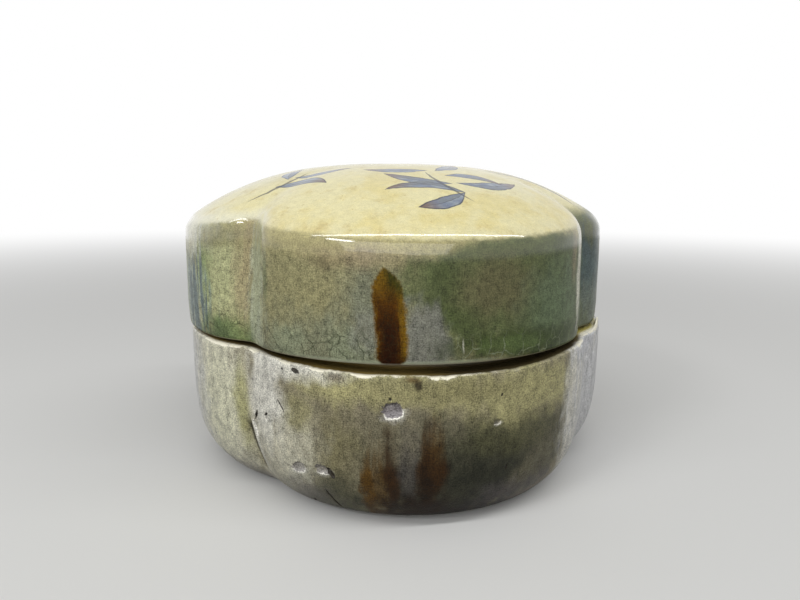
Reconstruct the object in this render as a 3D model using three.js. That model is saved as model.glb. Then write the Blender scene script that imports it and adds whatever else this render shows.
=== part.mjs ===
// A lidded ceramic box of four soft lobes: a bowl-shaped base with a collar, and a domed lid that covers it.
// Millimetres, +Z up. The origin is the middle of the footprint, on the surface that the box stands on.
// +X runs along the narrower side lobes, and the front faces -Y.

import * as THREE from "three";

// Plan outline, shared by the base and the lid
const HALF_LENGTH = 40.3;
const HALF_DEPTH = 41.6;
const NOTCH_X = 29.4;
const NOTCH_Y = 23.4;
const NOTCH_SOFTNESS = 1;
const GROOVE_WIDTH = 4.4;

// Base, from the table up to its rim
const FOOT_STEP = 2.8;
const FOOT_WIDTH = 4.5;
const FOOT_HEIGHT = 0.8;
const FLOOR_THICKNESS = 4.2;
const RIM_HEIGHT = 25.8;
const RIM_DIP = 0.9;
const BELLY_START = 18.9;
const BELLY_DROP = 19.2;
const BELLY_TUCK = 11.9;
const BELLY_POWER = 3.1;
const EXTRA_SIDE_TUCK = 0.28;
const INNER_TUCK = 12;
const BASE_GROOVE = 0.55;

// Collar that stands on the base's rim and guides the lid
const COLLAR_HEIGHT = 5;
const COLLAR_WALL = 2.2;
const COLLAR_CLEARANCE = 0.35;

// Lid, from its lower edge to the top of its dome
const LID_GAP = 0.3;
const LID_SHIFT_X = -0.55;
const LID_SHIFT_Y = 0.55;
const LID_WALL = 3;
const LID_HEIGHT = 18.9;
const LID_CURL = 0.3;
const LID_CURL_HEIGHT = 4;
const LID_GROOVE = 2.8;
const DOME_RISE = 10.7;
const DOME_POWER = 2.9;
const DOME_THICKNESS = 3.2;
const DOME_DIP = 0.7;
const DOME_DIP_FADE = 8;
const SHOULDER_ROUND = 1.9;
const SHOULDER_LEVEL = 0.45;

// Worn round on every free edge
const EDGE_ROUND = 0.7;

// Fineness of the surfaces
const STEPS_PER_LOBE = 20;
const CROWDING_AT_NOTCH = 0.55;
const STEPS_PER_CURVE = 6;
const STEPS_PER_ROUND = 3;
const STEPS_ON_DOME = 6;

const NOTCH_ANGLE = Math.atan2(NOTCH_Y, NOTCH_X);
const QUARTER_TURN = Math.PI / 2;
const FLOOR_TOP = FOOT_HEIGHT + FLOOR_THICKNESS;
const COLLAR_TOP = RIM_HEIGHT + COLLAR_HEIGHT;
const COLLAR_OUTER = LID_WALL + Math.hypot(LID_SHIFT_X, LID_SHIFT_Y) + COLLAR_CLEARANCE;
const COLLAR_INNER = COLLAR_OUTER + COLLAR_WALL;
const SIDE_LOBE = lobe(HALF_LENGTH, NOTCH_X, NOTCH_Y);
const FRONT_LOBE = lobe(HALF_DEPTH, NOTCH_Y, NOTCH_X);
const ANGLES = ringAngles();

// A lobe is the arc through its tip and its two notches, with its centre on the lobe's own axis.
function lobe(reach, notchAlong, notchAcross) {
  const sagitta = reach - notchAlong;
  const radius = (notchAcross ** 2 + sagitta ** 2) / (2 * sagitta);
  return { radius, centre: reach - radius };
}

// Directions of the outline's points, closer together towards the notches and exact at them.
function ringAngles() {
  const spans = [
    { from: -NOTCH_ANGLE, to: NOTCH_ANGLE },
    { from: NOTCH_ANGLE, to: Math.PI - NOTCH_ANGLE },
    { from: Math.PI - NOTCH_ANGLE, to: Math.PI + NOTCH_ANGLE },
    { from: Math.PI + NOTCH_ANGLE, to: 2 * Math.PI - NOTCH_ANGLE },
  ];
  return spans.flatMap(({ from, to }) =>
    steps(STEPS_PER_LOBE).map((share) => {
      const eased = (1 - Math.cos(Math.PI * share)) / 2;
      return from + (to - from) * (share + (eased - share) * CROWDING_AT_NOTCH);
    }),
  );
}

// The shares 0, 1/count, 2/count and so on, without the last one.
function steps(count) {
  return Array.from({ length: count }, (_, index) => index / count);
}

// The same shares with 1 at the end.
function stepsToEnd(count) {
  return [...steps(count), 1];
}

// Distance from the middle to a lobe's arc, set in by an inset, at an angle from the lobe's axis.
function reachOfLobe({ radius, centre }, angle, inset) {
  const across = centre * Math.sin(angle);
  return centre * Math.cos(angle) + Math.sqrt(Math.max(0, (radius - inset) ** 2 - across ** 2));
}

// An angle as seen from the nearest side lobe's axis, from 0 to a quarter turn.
function foldedAngle(angle) {
  return Math.atan2(Math.abs(Math.sin(angle)), Math.abs(Math.cos(angle)));
}

// A bell that is 1 at a notch and fades over the groove's width.
function grooveBell(angle, radius) {
  const distance = (foldedAngle(angle) - NOTCH_ANGLE) * radius;
  return Math.exp(-((distance / GROOVE_WIDTH) ** 2));
}

// The outline in polar form. The larger of two lobes wins, and a groove runs down the notch between them.
function outlineRadius(angle, inset, groove) {
  const folded = foldedAngle(angle);
  const side = reachOfLobe(SIDE_LOBE, folded, inset);
  const front = reachOfLobe(FRONT_LOBE, QUARTER_TURN - folded, inset);
  const radius = (side + front + Math.hypot(side - front, NOTCH_SOFTNESS)) / 2;
  return radius - groove * grooveBell(angle, radius);
}

// A closed ring of points on the grooved outline. Inset and height are numbers, or change with the angle.
function ring(groove, inset, height, share = 1) {
  return ANGLES.map((angle) => {
    const setIn = typeof inset === "function" ? inset(angle) : inset;
    const radius = outlineRadius(angle, setIn, groove) * share;
    const z = typeof height === "function" ? height(angle, radius) : height;
    return new THREE.Vector3(radius * Math.cos(angle), radius * Math.sin(angle), z);
  });
}

// A closed body through rings that run outwards, round and back in, from a low point to a high one.
// The first point faces down and the last one faces up.
function skin(startHeight, rings, endHeight) {
  const count = ANGLES.length;
  const points = [new THREE.Vector3(0, 0, startHeight), ...rings.flat(), new THREE.Vector3(0, 0, endHeight)];
  const faces = [];
  const at = (level, index) => 1 + level * count + (index % count);
  for (let index = 0; index < count; index += 1) {
    faces.push(0, at(0, index + 1), at(0, index));
    for (let level = 0; level < rings.length - 1; level += 1) {
      faces.push(at(level, index), at(level, index + 1), at(level + 1, index + 1));
      faces.push(at(level, index), at(level + 1, index + 1), at(level + 1, index));
    }
    faces.push(points.length - 1, at(rings.length - 1, index), at(rings.length - 1, index + 1));
  }
  const geometry = new THREE.BufferGeometry().setFromPoints(points);
  geometry.setIndex(faces);
  geometry.computeVertexNormals();
  return geometry;
}

// How far the base's rim sags at an angle: most at the middle of the front, nothing past the side lobes.
function rimDip(angle) {
  return RIM_DIP * Math.max(0, -Math.sin(angle)) ** 2;
}

function rimHeight(angle) {
  return RIM_HEIGHT - rimDip(angle);
}

// A bowl's wall as a superellipse quarter: how far it tucks in at a height below its start.
function tuckAt(height, tuck, drop) {
  const fall = Math.max(0, BELLY_START - height) / drop;
  return tuck * (1 - (1 - fall ** BELLY_POWER) ** (1 / BELLY_POWER));
}

// The outer wall tucks in a little more under the side lobes than under the front and back ones.
function outerTuck(height, angle) {
  return tuckAt(height, BELLY_TUCK, BELLY_DROP) * (1 + EXTRA_SIDE_TUCK * Math.cos(angle) ** 2);
}

// The foot ring stands a step inside the wall's lower end.
function footRings() {
  const outer = (angle) => outerTuck(FOOT_HEIGHT, angle) + FOOT_STEP;
  const inner = (angle) => outer(angle) + FOOT_WIDTH;
  return [
    ring(BASE_GROOVE, inner, FOOT_HEIGHT),
    ring(BASE_GROOVE, inner, 0),
    ring(BASE_GROOVE, outer, 0),
    ring(BASE_GROOVE, outer, FOOT_HEIGHT),
  ];
}

// The base's outer wall from the foot up to the start of the rim's rounded edge.
function outerWallRings() {
  const rings = stepsToEnd(STEPS_PER_CURVE).map((share) => {
    const height = FOOT_HEIGHT + (BELLY_START - FOOT_HEIGHT) * share ** 2;
    return ring(BASE_GROOVE, (angle) => outerTuck(height, angle), height);
  });
  return [...rings, ring(BASE_GROOVE, 0, (angle) => rimHeight(angle) - EDGE_ROUND)];
}

// A quarter round that leaves a wall at one inset and turns by EDGE_ROUND inwards or outwards, up or down.
function roundedEdge(groove, inset, inwards, height, upwards) {
  return stepsToEnd(STEPS_PER_ROUND)
    .slice(1)
    .map((share) => {
      const turn = share * QUARTER_TURN;
      const sideways = inset + inwards * EDGE_ROUND * (1 - Math.cos(turn));
      const lift = upwards * EDGE_ROUND * Math.sin(turn);
      return ring(groove, sideways, (angle) => height(angle) + lift);
    });
}

// The ledge on the rim, then the collar's outer face, its rounded top and its inner face.
// The collar follows the lid's grooves.
function collarRings() {
  const top = COLLAR_TOP - EDGE_ROUND;
  return [
    ring(LID_GROOVE, COLLAR_OUTER, rimHeight),
    ring(LID_GROOVE, COLLAR_OUTER, top),
    ...roundedEdge(LID_GROOVE, COLLAR_OUTER, 1, () => top, 1),
    ...roundedEdge(LID_GROOVE, COLLAR_INNER, -1, () => top, 1).reverse(),
    ring(LID_GROOVE, COLLAR_INNER, top),
  ];
}

// The bowl's inside, from the collar down to the floor.
function bowlRings() {
  const drop = BELLY_START - FLOOR_TOP;
  return stepsToEnd(STEPS_PER_CURVE).map((share) => {
    const height = BELLY_START - drop * (1 - (1 - share) ** 2);
    return ring(LID_GROOVE, COLLAR_INNER + tuckAt(height, INNER_TUCK, drop), height);
  });
}

function makeBase() {
  const material = new THREE.MeshStandardMaterial({ color: 0xb3aa95, roughness: 0.55, metalness: 0 });
  const rings = [
    ...footRings(),
    ...outerWallRings(),
    ...roundedEdge(BASE_GROOVE, 0, 1, (angle) => rimHeight(angle) - EDGE_ROUND, 1),
    ...collarRings(),
    ...bowlRings(),
  ];
  const mesh = new THREE.Mesh(skin(FOOT_HEIGHT, rings, FLOOR_TOP), material);
  mesh.name = "base";
  return mesh;
}

// Height of the dome above the lid's lower edge. The shoulder stays partly level round each lobe,
// and dips at the notches.
function domeHeight(angle, radius) {
  const edge = outlineRadius(angle, 0, LID_GROOVE);
  const reach = HALF_LENGTH + SHOULDER_LEVEL * (edge - HALF_LENGTH);
  const dip = DOME_DIP * grooveBell(angle, edge) * (radius / edge) ** DOME_DIP_FADE;
  return LID_HEIGHT + DOME_RISE * (1 - (radius / reach) ** DOME_POWER) - dip;
}

// The dome's outside, then the shoulder that rounds it over into the wall.
function domeRings() {
  const dome = stepsToEnd(STEPS_ON_DOME)
    .slice(1)
    .map((share) => ring(LID_GROOVE, SHOULDER_ROUND, domeHeight, share));
  const shoulder = stepsToEnd(STEPS_PER_ROUND)
    .slice(1)
    .map((share) => {
      const turn = share * QUARTER_TURN;
      const fall = SHOULDER_ROUND * (1 - Math.cos(turn));
      const inset = SHOULDER_ROUND * (1 - Math.sin(turn));
      return ring(LID_GROOVE, inset, (angle, radius) => domeHeight(angle, radius) - fall);
    });
  return [...dome, ...shoulder];
}

// The lid's wall from where its foot starts to curl in, down to its lower edge and round to its inner face.
function lidEdgeRings() {
  const curl = stepsToEnd(STEPS_PER_ROUND).map((share) => {
    const height = LID_CURL_HEIGHT + (EDGE_ROUND - LID_CURL_HEIGHT) * share;
    return ring(LID_GROOVE, LID_CURL * share ** 2, height);
  });
  const outer = roundedEdge(LID_GROOVE, LID_CURL, 1, () => EDGE_ROUND, -1);
  const inner = roundedEdge(LID_GROOVE, LID_WALL, -1, () => EDGE_ROUND, -1).reverse();
  return [...curl, ...outer, ...inner, ring(LID_GROOVE, LID_WALL, EDGE_ROUND)];
}

// The hollow under the dome, a thickness below the outside, with a blunt corner to the wall.
function lidHollowRings() {
  const under = (angle, radius) => domeHeight(angle, radius) - DOME_THICKNESS;
  const blunt = SHOULDER_ROUND / 2;
  const corner = ring(LID_GROOVE, LID_WALL, (angle, radius) => under(angle, radius) - blunt);
  const dome = stepsToEnd(STEPS_ON_DOME)
    .slice(1)
    .reverse()
    .map((share) => ring(LID_GROOVE, LID_WALL + blunt, under, share));
  return [corner, ...dome];
}

function makeLid() {
  const material = new THREE.MeshStandardMaterial({ color: 0xb4a86c, roughness: 0.3, metalness: 0 });
  const rings = [...domeRings(), ...lidEdgeRings(), ...lidHollowRings()].reverse();
  const top = domeHeight(0, 0);
  const mesh = new THREE.Mesh(skin(top - DOME_THICKNESS, rings, top), material);
  mesh.name = "lid";
  mesh.position.set(LID_SHIFT_X, LID_SHIFT_Y, RIM_HEIGHT + LID_GAP);
  return mesh;
}

const box = new THREE.Group();
box.name = "lidded_ceramic_box";
box.add(makeBase(), makeLid());

export default box;
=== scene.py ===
"""A small lidded ceramic box of four soft lobes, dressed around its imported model.

The base and the lid are modelled again with a fine surface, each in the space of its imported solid: a worn
rim, chips, scratches and the slight waviness of a hand-made thing. Their glazes are node materials that read
the pieces' own coordinates. Sizes are in millimetres, and angles in degrees from the front, positive to the
right.
"""

import logging
import math
from collections.abc import Callable
from dataclasses import dataclass
from enum import Enum
from typing import Any

import bpy
import numpy as np
from mathutils import Matrix, Vector


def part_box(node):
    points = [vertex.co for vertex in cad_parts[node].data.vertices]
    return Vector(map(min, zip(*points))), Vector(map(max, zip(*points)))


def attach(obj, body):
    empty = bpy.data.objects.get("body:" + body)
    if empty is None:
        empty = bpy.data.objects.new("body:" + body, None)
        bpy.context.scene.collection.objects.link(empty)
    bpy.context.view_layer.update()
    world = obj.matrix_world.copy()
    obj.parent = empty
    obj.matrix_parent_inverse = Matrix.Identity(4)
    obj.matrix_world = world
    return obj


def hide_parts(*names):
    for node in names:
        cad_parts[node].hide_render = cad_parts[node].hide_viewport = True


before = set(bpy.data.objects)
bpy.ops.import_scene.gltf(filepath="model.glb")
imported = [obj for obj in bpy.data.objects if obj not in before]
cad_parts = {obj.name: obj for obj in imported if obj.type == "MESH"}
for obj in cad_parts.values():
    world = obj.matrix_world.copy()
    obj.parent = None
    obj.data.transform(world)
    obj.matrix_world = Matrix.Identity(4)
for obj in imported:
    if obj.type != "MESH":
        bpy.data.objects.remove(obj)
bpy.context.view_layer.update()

LOG = logging.getLogger("ceramic_box")
MILLIMETRE = 0.001
IMAGE_WIDTH = 800
WALL_RADIUS = 39.5
WHITE = (1.0, 1.0, 1.0, 1.0)
Span = float | np.ndarray
Tint = tuple[float, float, float, float]


def tint(red: int, green: int, blue: int) -> Tint:
    """Turns a colour as it is seen into the linear values that a shader takes.

    Args:
        red: How red it is, from 0 to 255.
        green: How green it is.
        blue: How blue it is.

    Returns:
        Its linear red, green and blue, and full cover.
    """
    def linear(step: int) -> float:
        """Makes one step linear."""
        share = step / 255.0
        return share / 12.92 if share <= 0.04045 else ((share + 0.055) / 1.055) ** 2.4

    return (linear(red), linear(green), linear(blue), 1.0)


def smooth(value: np.ndarray, low: float, high: float) -> np.ndarray:
    """Rises softly from 0 at low to 1 at high."""
    share = np.clip((value - low) / (high - low), 0.0, 1.0)
    return share * share * (3.0 - 2.0 * share)


def roughened(value: np.ndarray, seed: float) -> np.ndarray:
    """Gives a wavy number between about -1 and 1 for each value, the same on every run."""
    waves = np.sin(2.1 * value + seed) + np.sin(4.7 * value + 2.0 * seed) + 0.6 * np.sin(9.3 * value + seed)
    return waves / 2.6


def corner_point(radius: float, turn: float) -> tuple[float, float]:
    """Gives how far a round corner's point is set in from either face, at a turn in degrees."""
    turned = math.radians(turn)
    return radius * (1.0 - math.cos(turned)), radius * (1.0 - math.sin(turned))


def front_angles(points: np.ndarray) -> np.ndarray:
    """Gives each point's direction in degrees from the front, positive towards the right."""
    return np.degrees(np.arctan2(points[:, 0], -points[:, 1]))


def outline_angles(angles: np.ndarray) -> np.ndarray:
    """Turns degrees from the front into the outline's own directions in radians."""
    return np.radians(angles - 90.0)


def read_rows(items: Any, name: str) -> np.ndarray:
    """Reads three numbers from each of a mesh's items.

    Args:
        items: The mesh's vertices, normals or faces.
        name: What is read from each.

    Returns:
        A row for each item.
    """
    rows = np.empty(len(items) * 3, np.float32)
    items.foreach_get(name, rows)
    return rows.reshape(-1, 3).astype(float)


def read_points(piece: bpy.types.Object) -> np.ndarray:
    """Reads a piece's vertices in millimetres."""
    return read_rows(piece.data.vertices, "co") / MILLIMETRE


def write_points(piece: bpy.types.Object, points: np.ndarray) -> None:
    """Moves a piece's vertices to places in millimetres."""
    piece.data.vertices.foreach_set("co", (points * MILLIMETRE).astype(np.float32).ravel())
    piece.data.update()


def add_attribute(piece: bpy.types.Object, name: str, values: np.ndarray) -> None:
    """Gives each of a piece's vertices a number that its glaze reads."""
    attribute = piece.data.attributes.new(name, "FLOAT", "POINT")
    attribute.data.foreach_set("value", values.astype(np.float32))


class Wear(Enum):
    """What broke the surface at a mark."""

    CHIP = "chip"
    GOUGE = "gouge"
    SCRATCH = "scratch"
    SPOT = "spot"
    SPALL = "spall"
    FOLD = "fold"


@dataclass(frozen=True)
class Mark:
    """One mark of wear on the base's wall.

    Attributes:
        wear: What made it.
        angle: Where its middle is, in degrees from the front.
        height: Where its middle is above the table.
        across: Half its size along its short axis.
        along: Half its size along its long axis.
        lean: How far its long axis leans to the right of upright, in degrees.
        depth: How deep it goes.
    """

    wear: Wear
    angle: float
    height: float
    across: float
    along: float
    lean: float
    depth: float

    def axes(self, angles: np.ndarray, heights: np.ndarray) -> tuple[np.ndarray, np.ndarray]:
        """Gives how far places on the wall are from the mark's middle.

        Args:
            angles: The places' directions, in degrees from the front.
            heights: Their heights.

        Returns:
            The distances along the mark's short and long axes.
        """
        sideways = np.radians(angles - self.angle) * WALL_RADIUS
        upwards = heights - self.height
        lean = math.radians(self.lean)
        across = sideways * math.cos(lean) - upwards * math.sin(lean)
        along = sideways * math.sin(lean) + upwards * math.cos(lean)
        return across, along

    def bowl(self, across: np.ndarray, along: np.ndarray, seed: int) -> np.ndarray:
        """Gives the depth of a bowl with a ragged edge and an uneven floor.

        Args:
            across: Distances along the mark's short axis.
            along: Distances along its long axis.
            seed: A number that makes it differ from other marks.

        Returns:
            The depth at each place.
        """
        turn = np.arctan2(along / self.along, across / self.across)
        edge = 1.0 + 0.13 * roughened(turn, 1.7 * seed)
        ratio = np.hypot(across / self.across, along / self.along) / edge
        uneven = 0.82 + 0.18 * roughened(3.0 * across + along, seed)
        return self.depth * (1.0 - smooth(ratio, 0.62, 1.02)) * uneven

    def crease(self, across: np.ndarray, along: np.ndarray) -> np.ndarray:
        """Gives the depth behind a fold, which is steep on one side and runs out slowly on the other.

        Args:
            across: Distances along the mark's short axis.
            along: Distances along its long axis.

        Returns:
            The depth at each place.
        """
        slope = np.exp(-((across / 2.4) ** 2))
        behind = np.where(across < 0.0, slope, 1.0 - smooth(across, 0.0, self.across))
        return self.depth * behind * (1.0 - smooth(np.abs(along), 0.5 * self.along, self.along))


MARKS = (
    Mark(Wear.CHIP, -12.6, 19.7, 1.25, 1.45, 90.0, 0.55),
    Mark(Wear.CHIP, -34.7, 8.6, 0.85, 1.45, 70.0, 0.45),
    Mark(Wear.CHIP, -28.3, 9.2, 0.75, 1.15, 100.0, 0.45),
    Mark(Wear.GOUGE, -26.2, 8.9, 0.42, 1.0, -35.0, 0.65),
    Mark(Wear.GOUGE, -49.4, 14.8, 0.32, 1.05, 30.0, 0.6),
    Mark(Wear.SPALL, -50.4, 12.8, 0.62, 0.95, -25.0, 0.45),
    Mark(Wear.SPALL, -49.7, 11.9, 0.4, 0.9, -8.0, 0.3),
    Mark(Wear.GOUGE, -44.6, 15.8, 0.22, 0.5, 60.0, 0.3),
    Mark(Wear.CHIP, -44.3, 15.1, 0.3, 0.4, 0.0, 0.25),
    Mark(Wear.SCRATCH, -39.0, 18.1, 0.13, 1.1, -38.0, 0.25),
    Mark(Wear.SCRATCH, -26.7, 3.6, 0.2, 2.4, -28.0, 0.3),
    Mark(Wear.SPOT, -33.2, 2.0, 0.3, 0.5, 20.0, 0.2),
    Mark(Wear.CHIP, 9.4, 17.1, 0.35, 0.6, 75.0, 0.3),
    Mark(Wear.SCRATCH, 12.4, 9.6, 0.12, 0.6, 8.0, 0.25),
    Mark(Wear.SPOT, -13.1, 21.4, 0.2, 0.24, 0.0, 0.2),
    Mark(Wear.SPOT, -34.4, 24.2, 0.4, 0.72, 100.0, 0.12),
    Mark(Wear.SPOT, -38.2, 24.1, 0.2, 0.26, 0.0, 0.1),
    Mark(Wear.SPOT, 10.2, 21.3, 0.16, 0.3, 25.0, 0.1),
    Mark(Wear.CHIP, 128.0, 12.4, 0.9, 1.3, 60.0, 0.45),
    Mark(Wear.CHIP, -151.0, 8.0, 0.6, 0.9, 20.0, 0.4),
    Mark(Wear.SCRATCH, 163.0, 15.0, 0.15, 1.6, 40.0, 0.25),
    Mark(Wear.SPOT, -118.0, 18.2, 0.3, 0.4, 0.0, 0.15),
    Mark(Wear.FOLD, -50.4, 9.4, 0.3, 5.2, -16.7, 1.0),
)


@dataclass(frozen=True)
class Flake:
    """A place where the glaze has flaked off the base's rim.

    Attributes:
        angle: Where its middle is, in degrees from the front.
        half: Half its width in degrees.
        drop: How far down it reaches, in millimetres.
    """

    angle: float
    half: float
    drop: float


FLAKES = (
    Flake(-63.0, 8.0, 0.8),
    Flake(-50.0, 1.6, 0.5),
    Flake(-37.5, 2.2, 0.35),
    Flake(-28.6, 2.4, 0.6),
    Flake(-18.6, 2.8, 0.75),
    Flake(-3.0, 3.0, 0.8),
    Flake(13.5, 1.2, 0.4),
    Flake(40.0, 2.2, 0.7),
    Flake(60.0, 11.0, 0.9),
    Flake(112.0, 3.0, 0.5),
    Flake(152.0, 3.5, 0.7),
    Flake(-122.0, 4.0, 0.6),
    Flake(-165.0, 2.5, 0.7),
)


@dataclass(frozen=True)
class Outline:
    """The plan outline: four lobes, and a groove down each notch between them.

    Attributes:
        half_length: From the middle to a side lobe's tip.
        half_depth: From the middle to the front lobe's tip.
        notch_x: How far a notch is to the side.
        notch_y: How far a notch is to the front.
        softness: How softly two lobes meet.
        groove_width: How wide the groove spreads.
    """

    half_length: float
    half_depth: float
    notch_x: float = 29.4
    notch_y: float = 23.4
    softness: float = 1.0
    groove_width: float = 4.4

    @property
    def notch_angle(self) -> float:
        """A notch's direction from the side lobe's axis, in radians."""
        return math.atan2(self.notch_y, self.notch_x)

    def angles(self, per_side_lobe: int, per_front_lobe: int, crowding: float = 0.5) -> np.ndarray:
        """Gives directions round the outline, closer together towards the notches.

        Args:
            per_side_lobe: How many lie on each side lobe and on the back one.
            per_front_lobe: How many lie on the front lobe.
            crowding: How strongly they crowd, from 0 to 1.

        Returns:
            The directions in radians, from the right front notch on.
        """
        notch = self.notch_angle
        starts = (-notch, notch, math.pi - notch, math.pi + notch)
        ends = (notch, math.pi - notch, math.pi + notch, 2.0 * math.pi - notch)
        counts = (per_side_lobe, per_side_lobe, per_side_lobe, per_front_lobe)
        spans = []
        for start, end, count in zip(starts, ends, counts):
            share = np.arange(count) / count
            eased = (1.0 - np.cos(np.pi * share)) / 2.0
            spans.append(start + (end - start) * (share + (eased - share) * crowding))
        return np.concatenate(spans)

    @staticmethod
    def folded(angles: np.ndarray) -> np.ndarray:
        """Turns directions into the first quarter, because the outline is alike in all four."""
        return np.arctan2(np.abs(np.sin(angles)), np.abs(np.cos(angles)))

    @staticmethod
    def reach(tip: float, along: float, across: float, turn: np.ndarray, inset: Span) -> np.ndarray:
        """Gives the distance from the middle to a lobe's arc.

        Args:
            tip: From the middle to the lobe's tip.
            along: How far a notch is along the lobe's axis.
            across: How far it is across that axis.
            turn: The directions, from the lobe's axis.
            inset: How far the arc is set in.

        Returns:
            The distance in each direction.
        """
        sagitta = tip - along
        radius = (across**2 + sagitta**2) / (2.0 * sagitta)
        centre = tip - radius
        inside = (radius - inset) ** 2 - (centre * np.sin(turn)) ** 2
        return centre * np.cos(turn) + np.sqrt(np.maximum(0.0, inside))

    def bell(self, angles: np.ndarray, radius: Span) -> np.ndarray:
        """Gives 1 at a notch, fading over the groove's width."""
        return np.exp(-(((self.folded(angles) - self.notch_angle) * radius / self.groove_width) ** 2))

    def radius(self, angles: np.ndarray, inset: Span = 0.0, groove: float = 0.0) -> np.ndarray:
        """Gives the outline's radius.

        Args:
            angles: The directions in radians.
            inset: How far the outline is set in.
            groove: How deep the grooves are.

        Returns:
            The radius in each direction.
        """
        folded = self.folded(angles)
        side = self.reach(self.half_length, self.notch_x, self.notch_y, folded, inset)
        front = self.reach(self.half_depth, self.notch_y, self.notch_x, np.pi / 2.0 - folded, inset)
        radius = (side + front + np.hypot(side - front, self.softness)) / 2.0
        return radius - groove * self.bell(angles, radius)


class Profile:
    """The rings of a shell, from its first pole to its last."""

    def __init__(self, outline: Outline, angles: np.ndarray) -> None:
        """Starts an empty profile.

        Args:
            outline: The outline that the rings follow.
            angles: The directions of the rings' points.
        """
        self.outline = outline
        self.angles = angles
        self.rings: list[np.ndarray] = []
        self.marks: dict[str, list[float]] = {"inner": [], "bare": [], "dome": []}

    def add(
        self,
        inset: Span,
        height: Span | Callable[[np.ndarray, np.ndarray], np.ndarray],
        groove: float,
        share: float = 1.0,
        inner: float = 0.0,
        bare: float = 0.0,
        dome: float = 0.0,
    ) -> None:
        """Adds a ring.

        Args:
            inset: How far it is set in from the outline.
            height: Its height, or a function of direction and radius that gives it.
            groove: How deep its grooves are.
            share: Its size as a share of the outline.
            inner: 1 on the inside of the shell, 0 outside.
            bare: 1 on bare clay, 0 under glaze.
            dome: 1 on the dome, 0 below its shoulder.
        """
        radius = self.outline.radius(self.angles, inset, groove) * share
        level = height(self.angles, radius) if callable(height) else height + 0.0 * radius
        self.rings.append(np.stack([radius * np.cos(self.angles), radius * np.sin(self.angles), level], -1))
        for name, value in (("inner", inner), ("bare", bare), ("dome", dome)):
            self.marks[name].append(value)


@dataclass
class Shell:
    """What the base and the lid share: an outline, a groove, and the making of a closed shell from a profile.

    Attributes:
        outline: The plan outline.
        groove: How deep the grooves between the lobes are.
        smoothness: Levels of subdivision.
        waviness: How far a hand-made wall strays inwards.
        wave_length: The size of the waves.
        ripple: How far the finer ripples stray.
        ripple_length: The size of the ripples.
        smooth_angle: The sharpest edge that is still shaded smoothly, in degrees.
    """

    outline: Outline
    groove: float
    smoothness: int = 2
    waviness: float = 0.16
    wave_length: float = 9.0
    ripple: float = 0.07
    ripple_length: float = 2.8
    smooth_angle: float = 42.0

    def extrude(self, name: str, profile: Profile, shift: tuple[float, float, float]) -> bpy.types.Object:
        """Extrudes a circle ring by ring and lays the rings on a profile.

        Args:
            name: The piece's name.
            profile: The rings.
            shift: How far the whole shell is moved, in millimetres.

        Returns:
            The closed shell, with the attributes inner, bare and dome.
        """
        bpy.ops.object.select_all(action="DESELECT")
        bpy.ops.mesh.primitive_circle_add(
            vertices=len(profile.angles), radius=1.0, fill_type="NOTHING", location=(0.0, 0.0, 0.0)
        )
        piece = bpy.context.object
        piece.name = name
        piece.data.name = name
        bpy.ops.object.mode_set(mode="EDIT")
        for _ in profile.rings[1:]:
            bpy.ops.mesh.extrude_edges_move(TRANSFORM_OT_translate={"value": (0.0, 0.0, 1.0)})
        bpy.ops.object.mode_set(mode="OBJECT")
        self.lay(piece, profile, shift)
        bpy.ops.object.mode_set(mode="EDIT")
        bpy.ops.mesh.select_all(action="SELECT")
        bpy.ops.mesh.remove_doubles(threshold=1e-6)
        bpy.ops.mesh.normals_make_consistent(inside=False)
        bpy.ops.object.mode_set(mode="OBJECT")
        return piece

    def lay(self, piece: bpy.types.Object, profile: Profile, shift: tuple[float, float, float]) -> None:
        """Lays a stack of unit circles on a profile, and gives its vertices the profile's marks.

        Args:
            piece: The stack, with its rings one apart.
            profile: The rings.
            shift: How far the whole shell is moved.
        """
        stack = read_rows(piece.data.vertices, "co")
        ring = np.rint(stack[:, 2]).astype(int)
        turn = np.arctan2(stack[:, 1], stack[:, 0])
        first = turn[ring == 0].min()
        columns = len(profile.angles)
        column = np.rint((turn - first) * columns / (2.0 * np.pi)).astype(int) % columns
        write_points(piece, np.array(profile.rings)[ring, column] + np.array(shift))
        for name, values in profile.marks.items():
            add_attribute(piece, name, np.array(values)[ring])

    def soften(self, piece: bpy.types.Object, wavy: np.ndarray) -> None:
        """Subdivides a shell and gives it the waviness of a hand-made wall.

        Args:
            piece: The shell.
            wavy: How much each vertex takes part, from 0 to 1.
        """
        group = piece.vertex_groups.new(name="wavy")
        for index in np.flatnonzero(wavy > 0.0):
            group.add([int(index)], float(wavy[index]), "REPLACE")
        rounding = piece.modifiers.new("rounding", "SUBSURF")
        rounding.levels = self.smoothness
        rounding.render_levels = self.smoothness
        for label, size, reach in (
            ("waves", self.wave_length, self.waviness),
            ("ripples", self.ripple_length, self.ripple),
        ):
            clouds = bpy.data.textures.new(f"{piece.name} {label}", "CLOUDS")
            clouds.noise_scale = size * MILLIMETRE
            waves = piece.modifiers.new(label, "DISPLACE")
            waves.texture = clouds
            waves.texture_coords = "LOCAL"
            waves.mid_level = 1.0
            waves.strength = reach * MILLIMETRE
            waves.vertex_group = group.name
        for label in ("rounding", "waves", "ripples"):
            bpy.ops.object.modifier_apply(modifier=label)

    def glaze(self, piece: bpy.types.Object, material: bpy.types.Material) -> None:
        """Shades a finished shell smoothly and gives it its glaze."""
        bpy.ops.object.shade_smooth_by_angle(angle=math.radians(self.smooth_angle))
        piece.data.materials.append(material)


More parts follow.
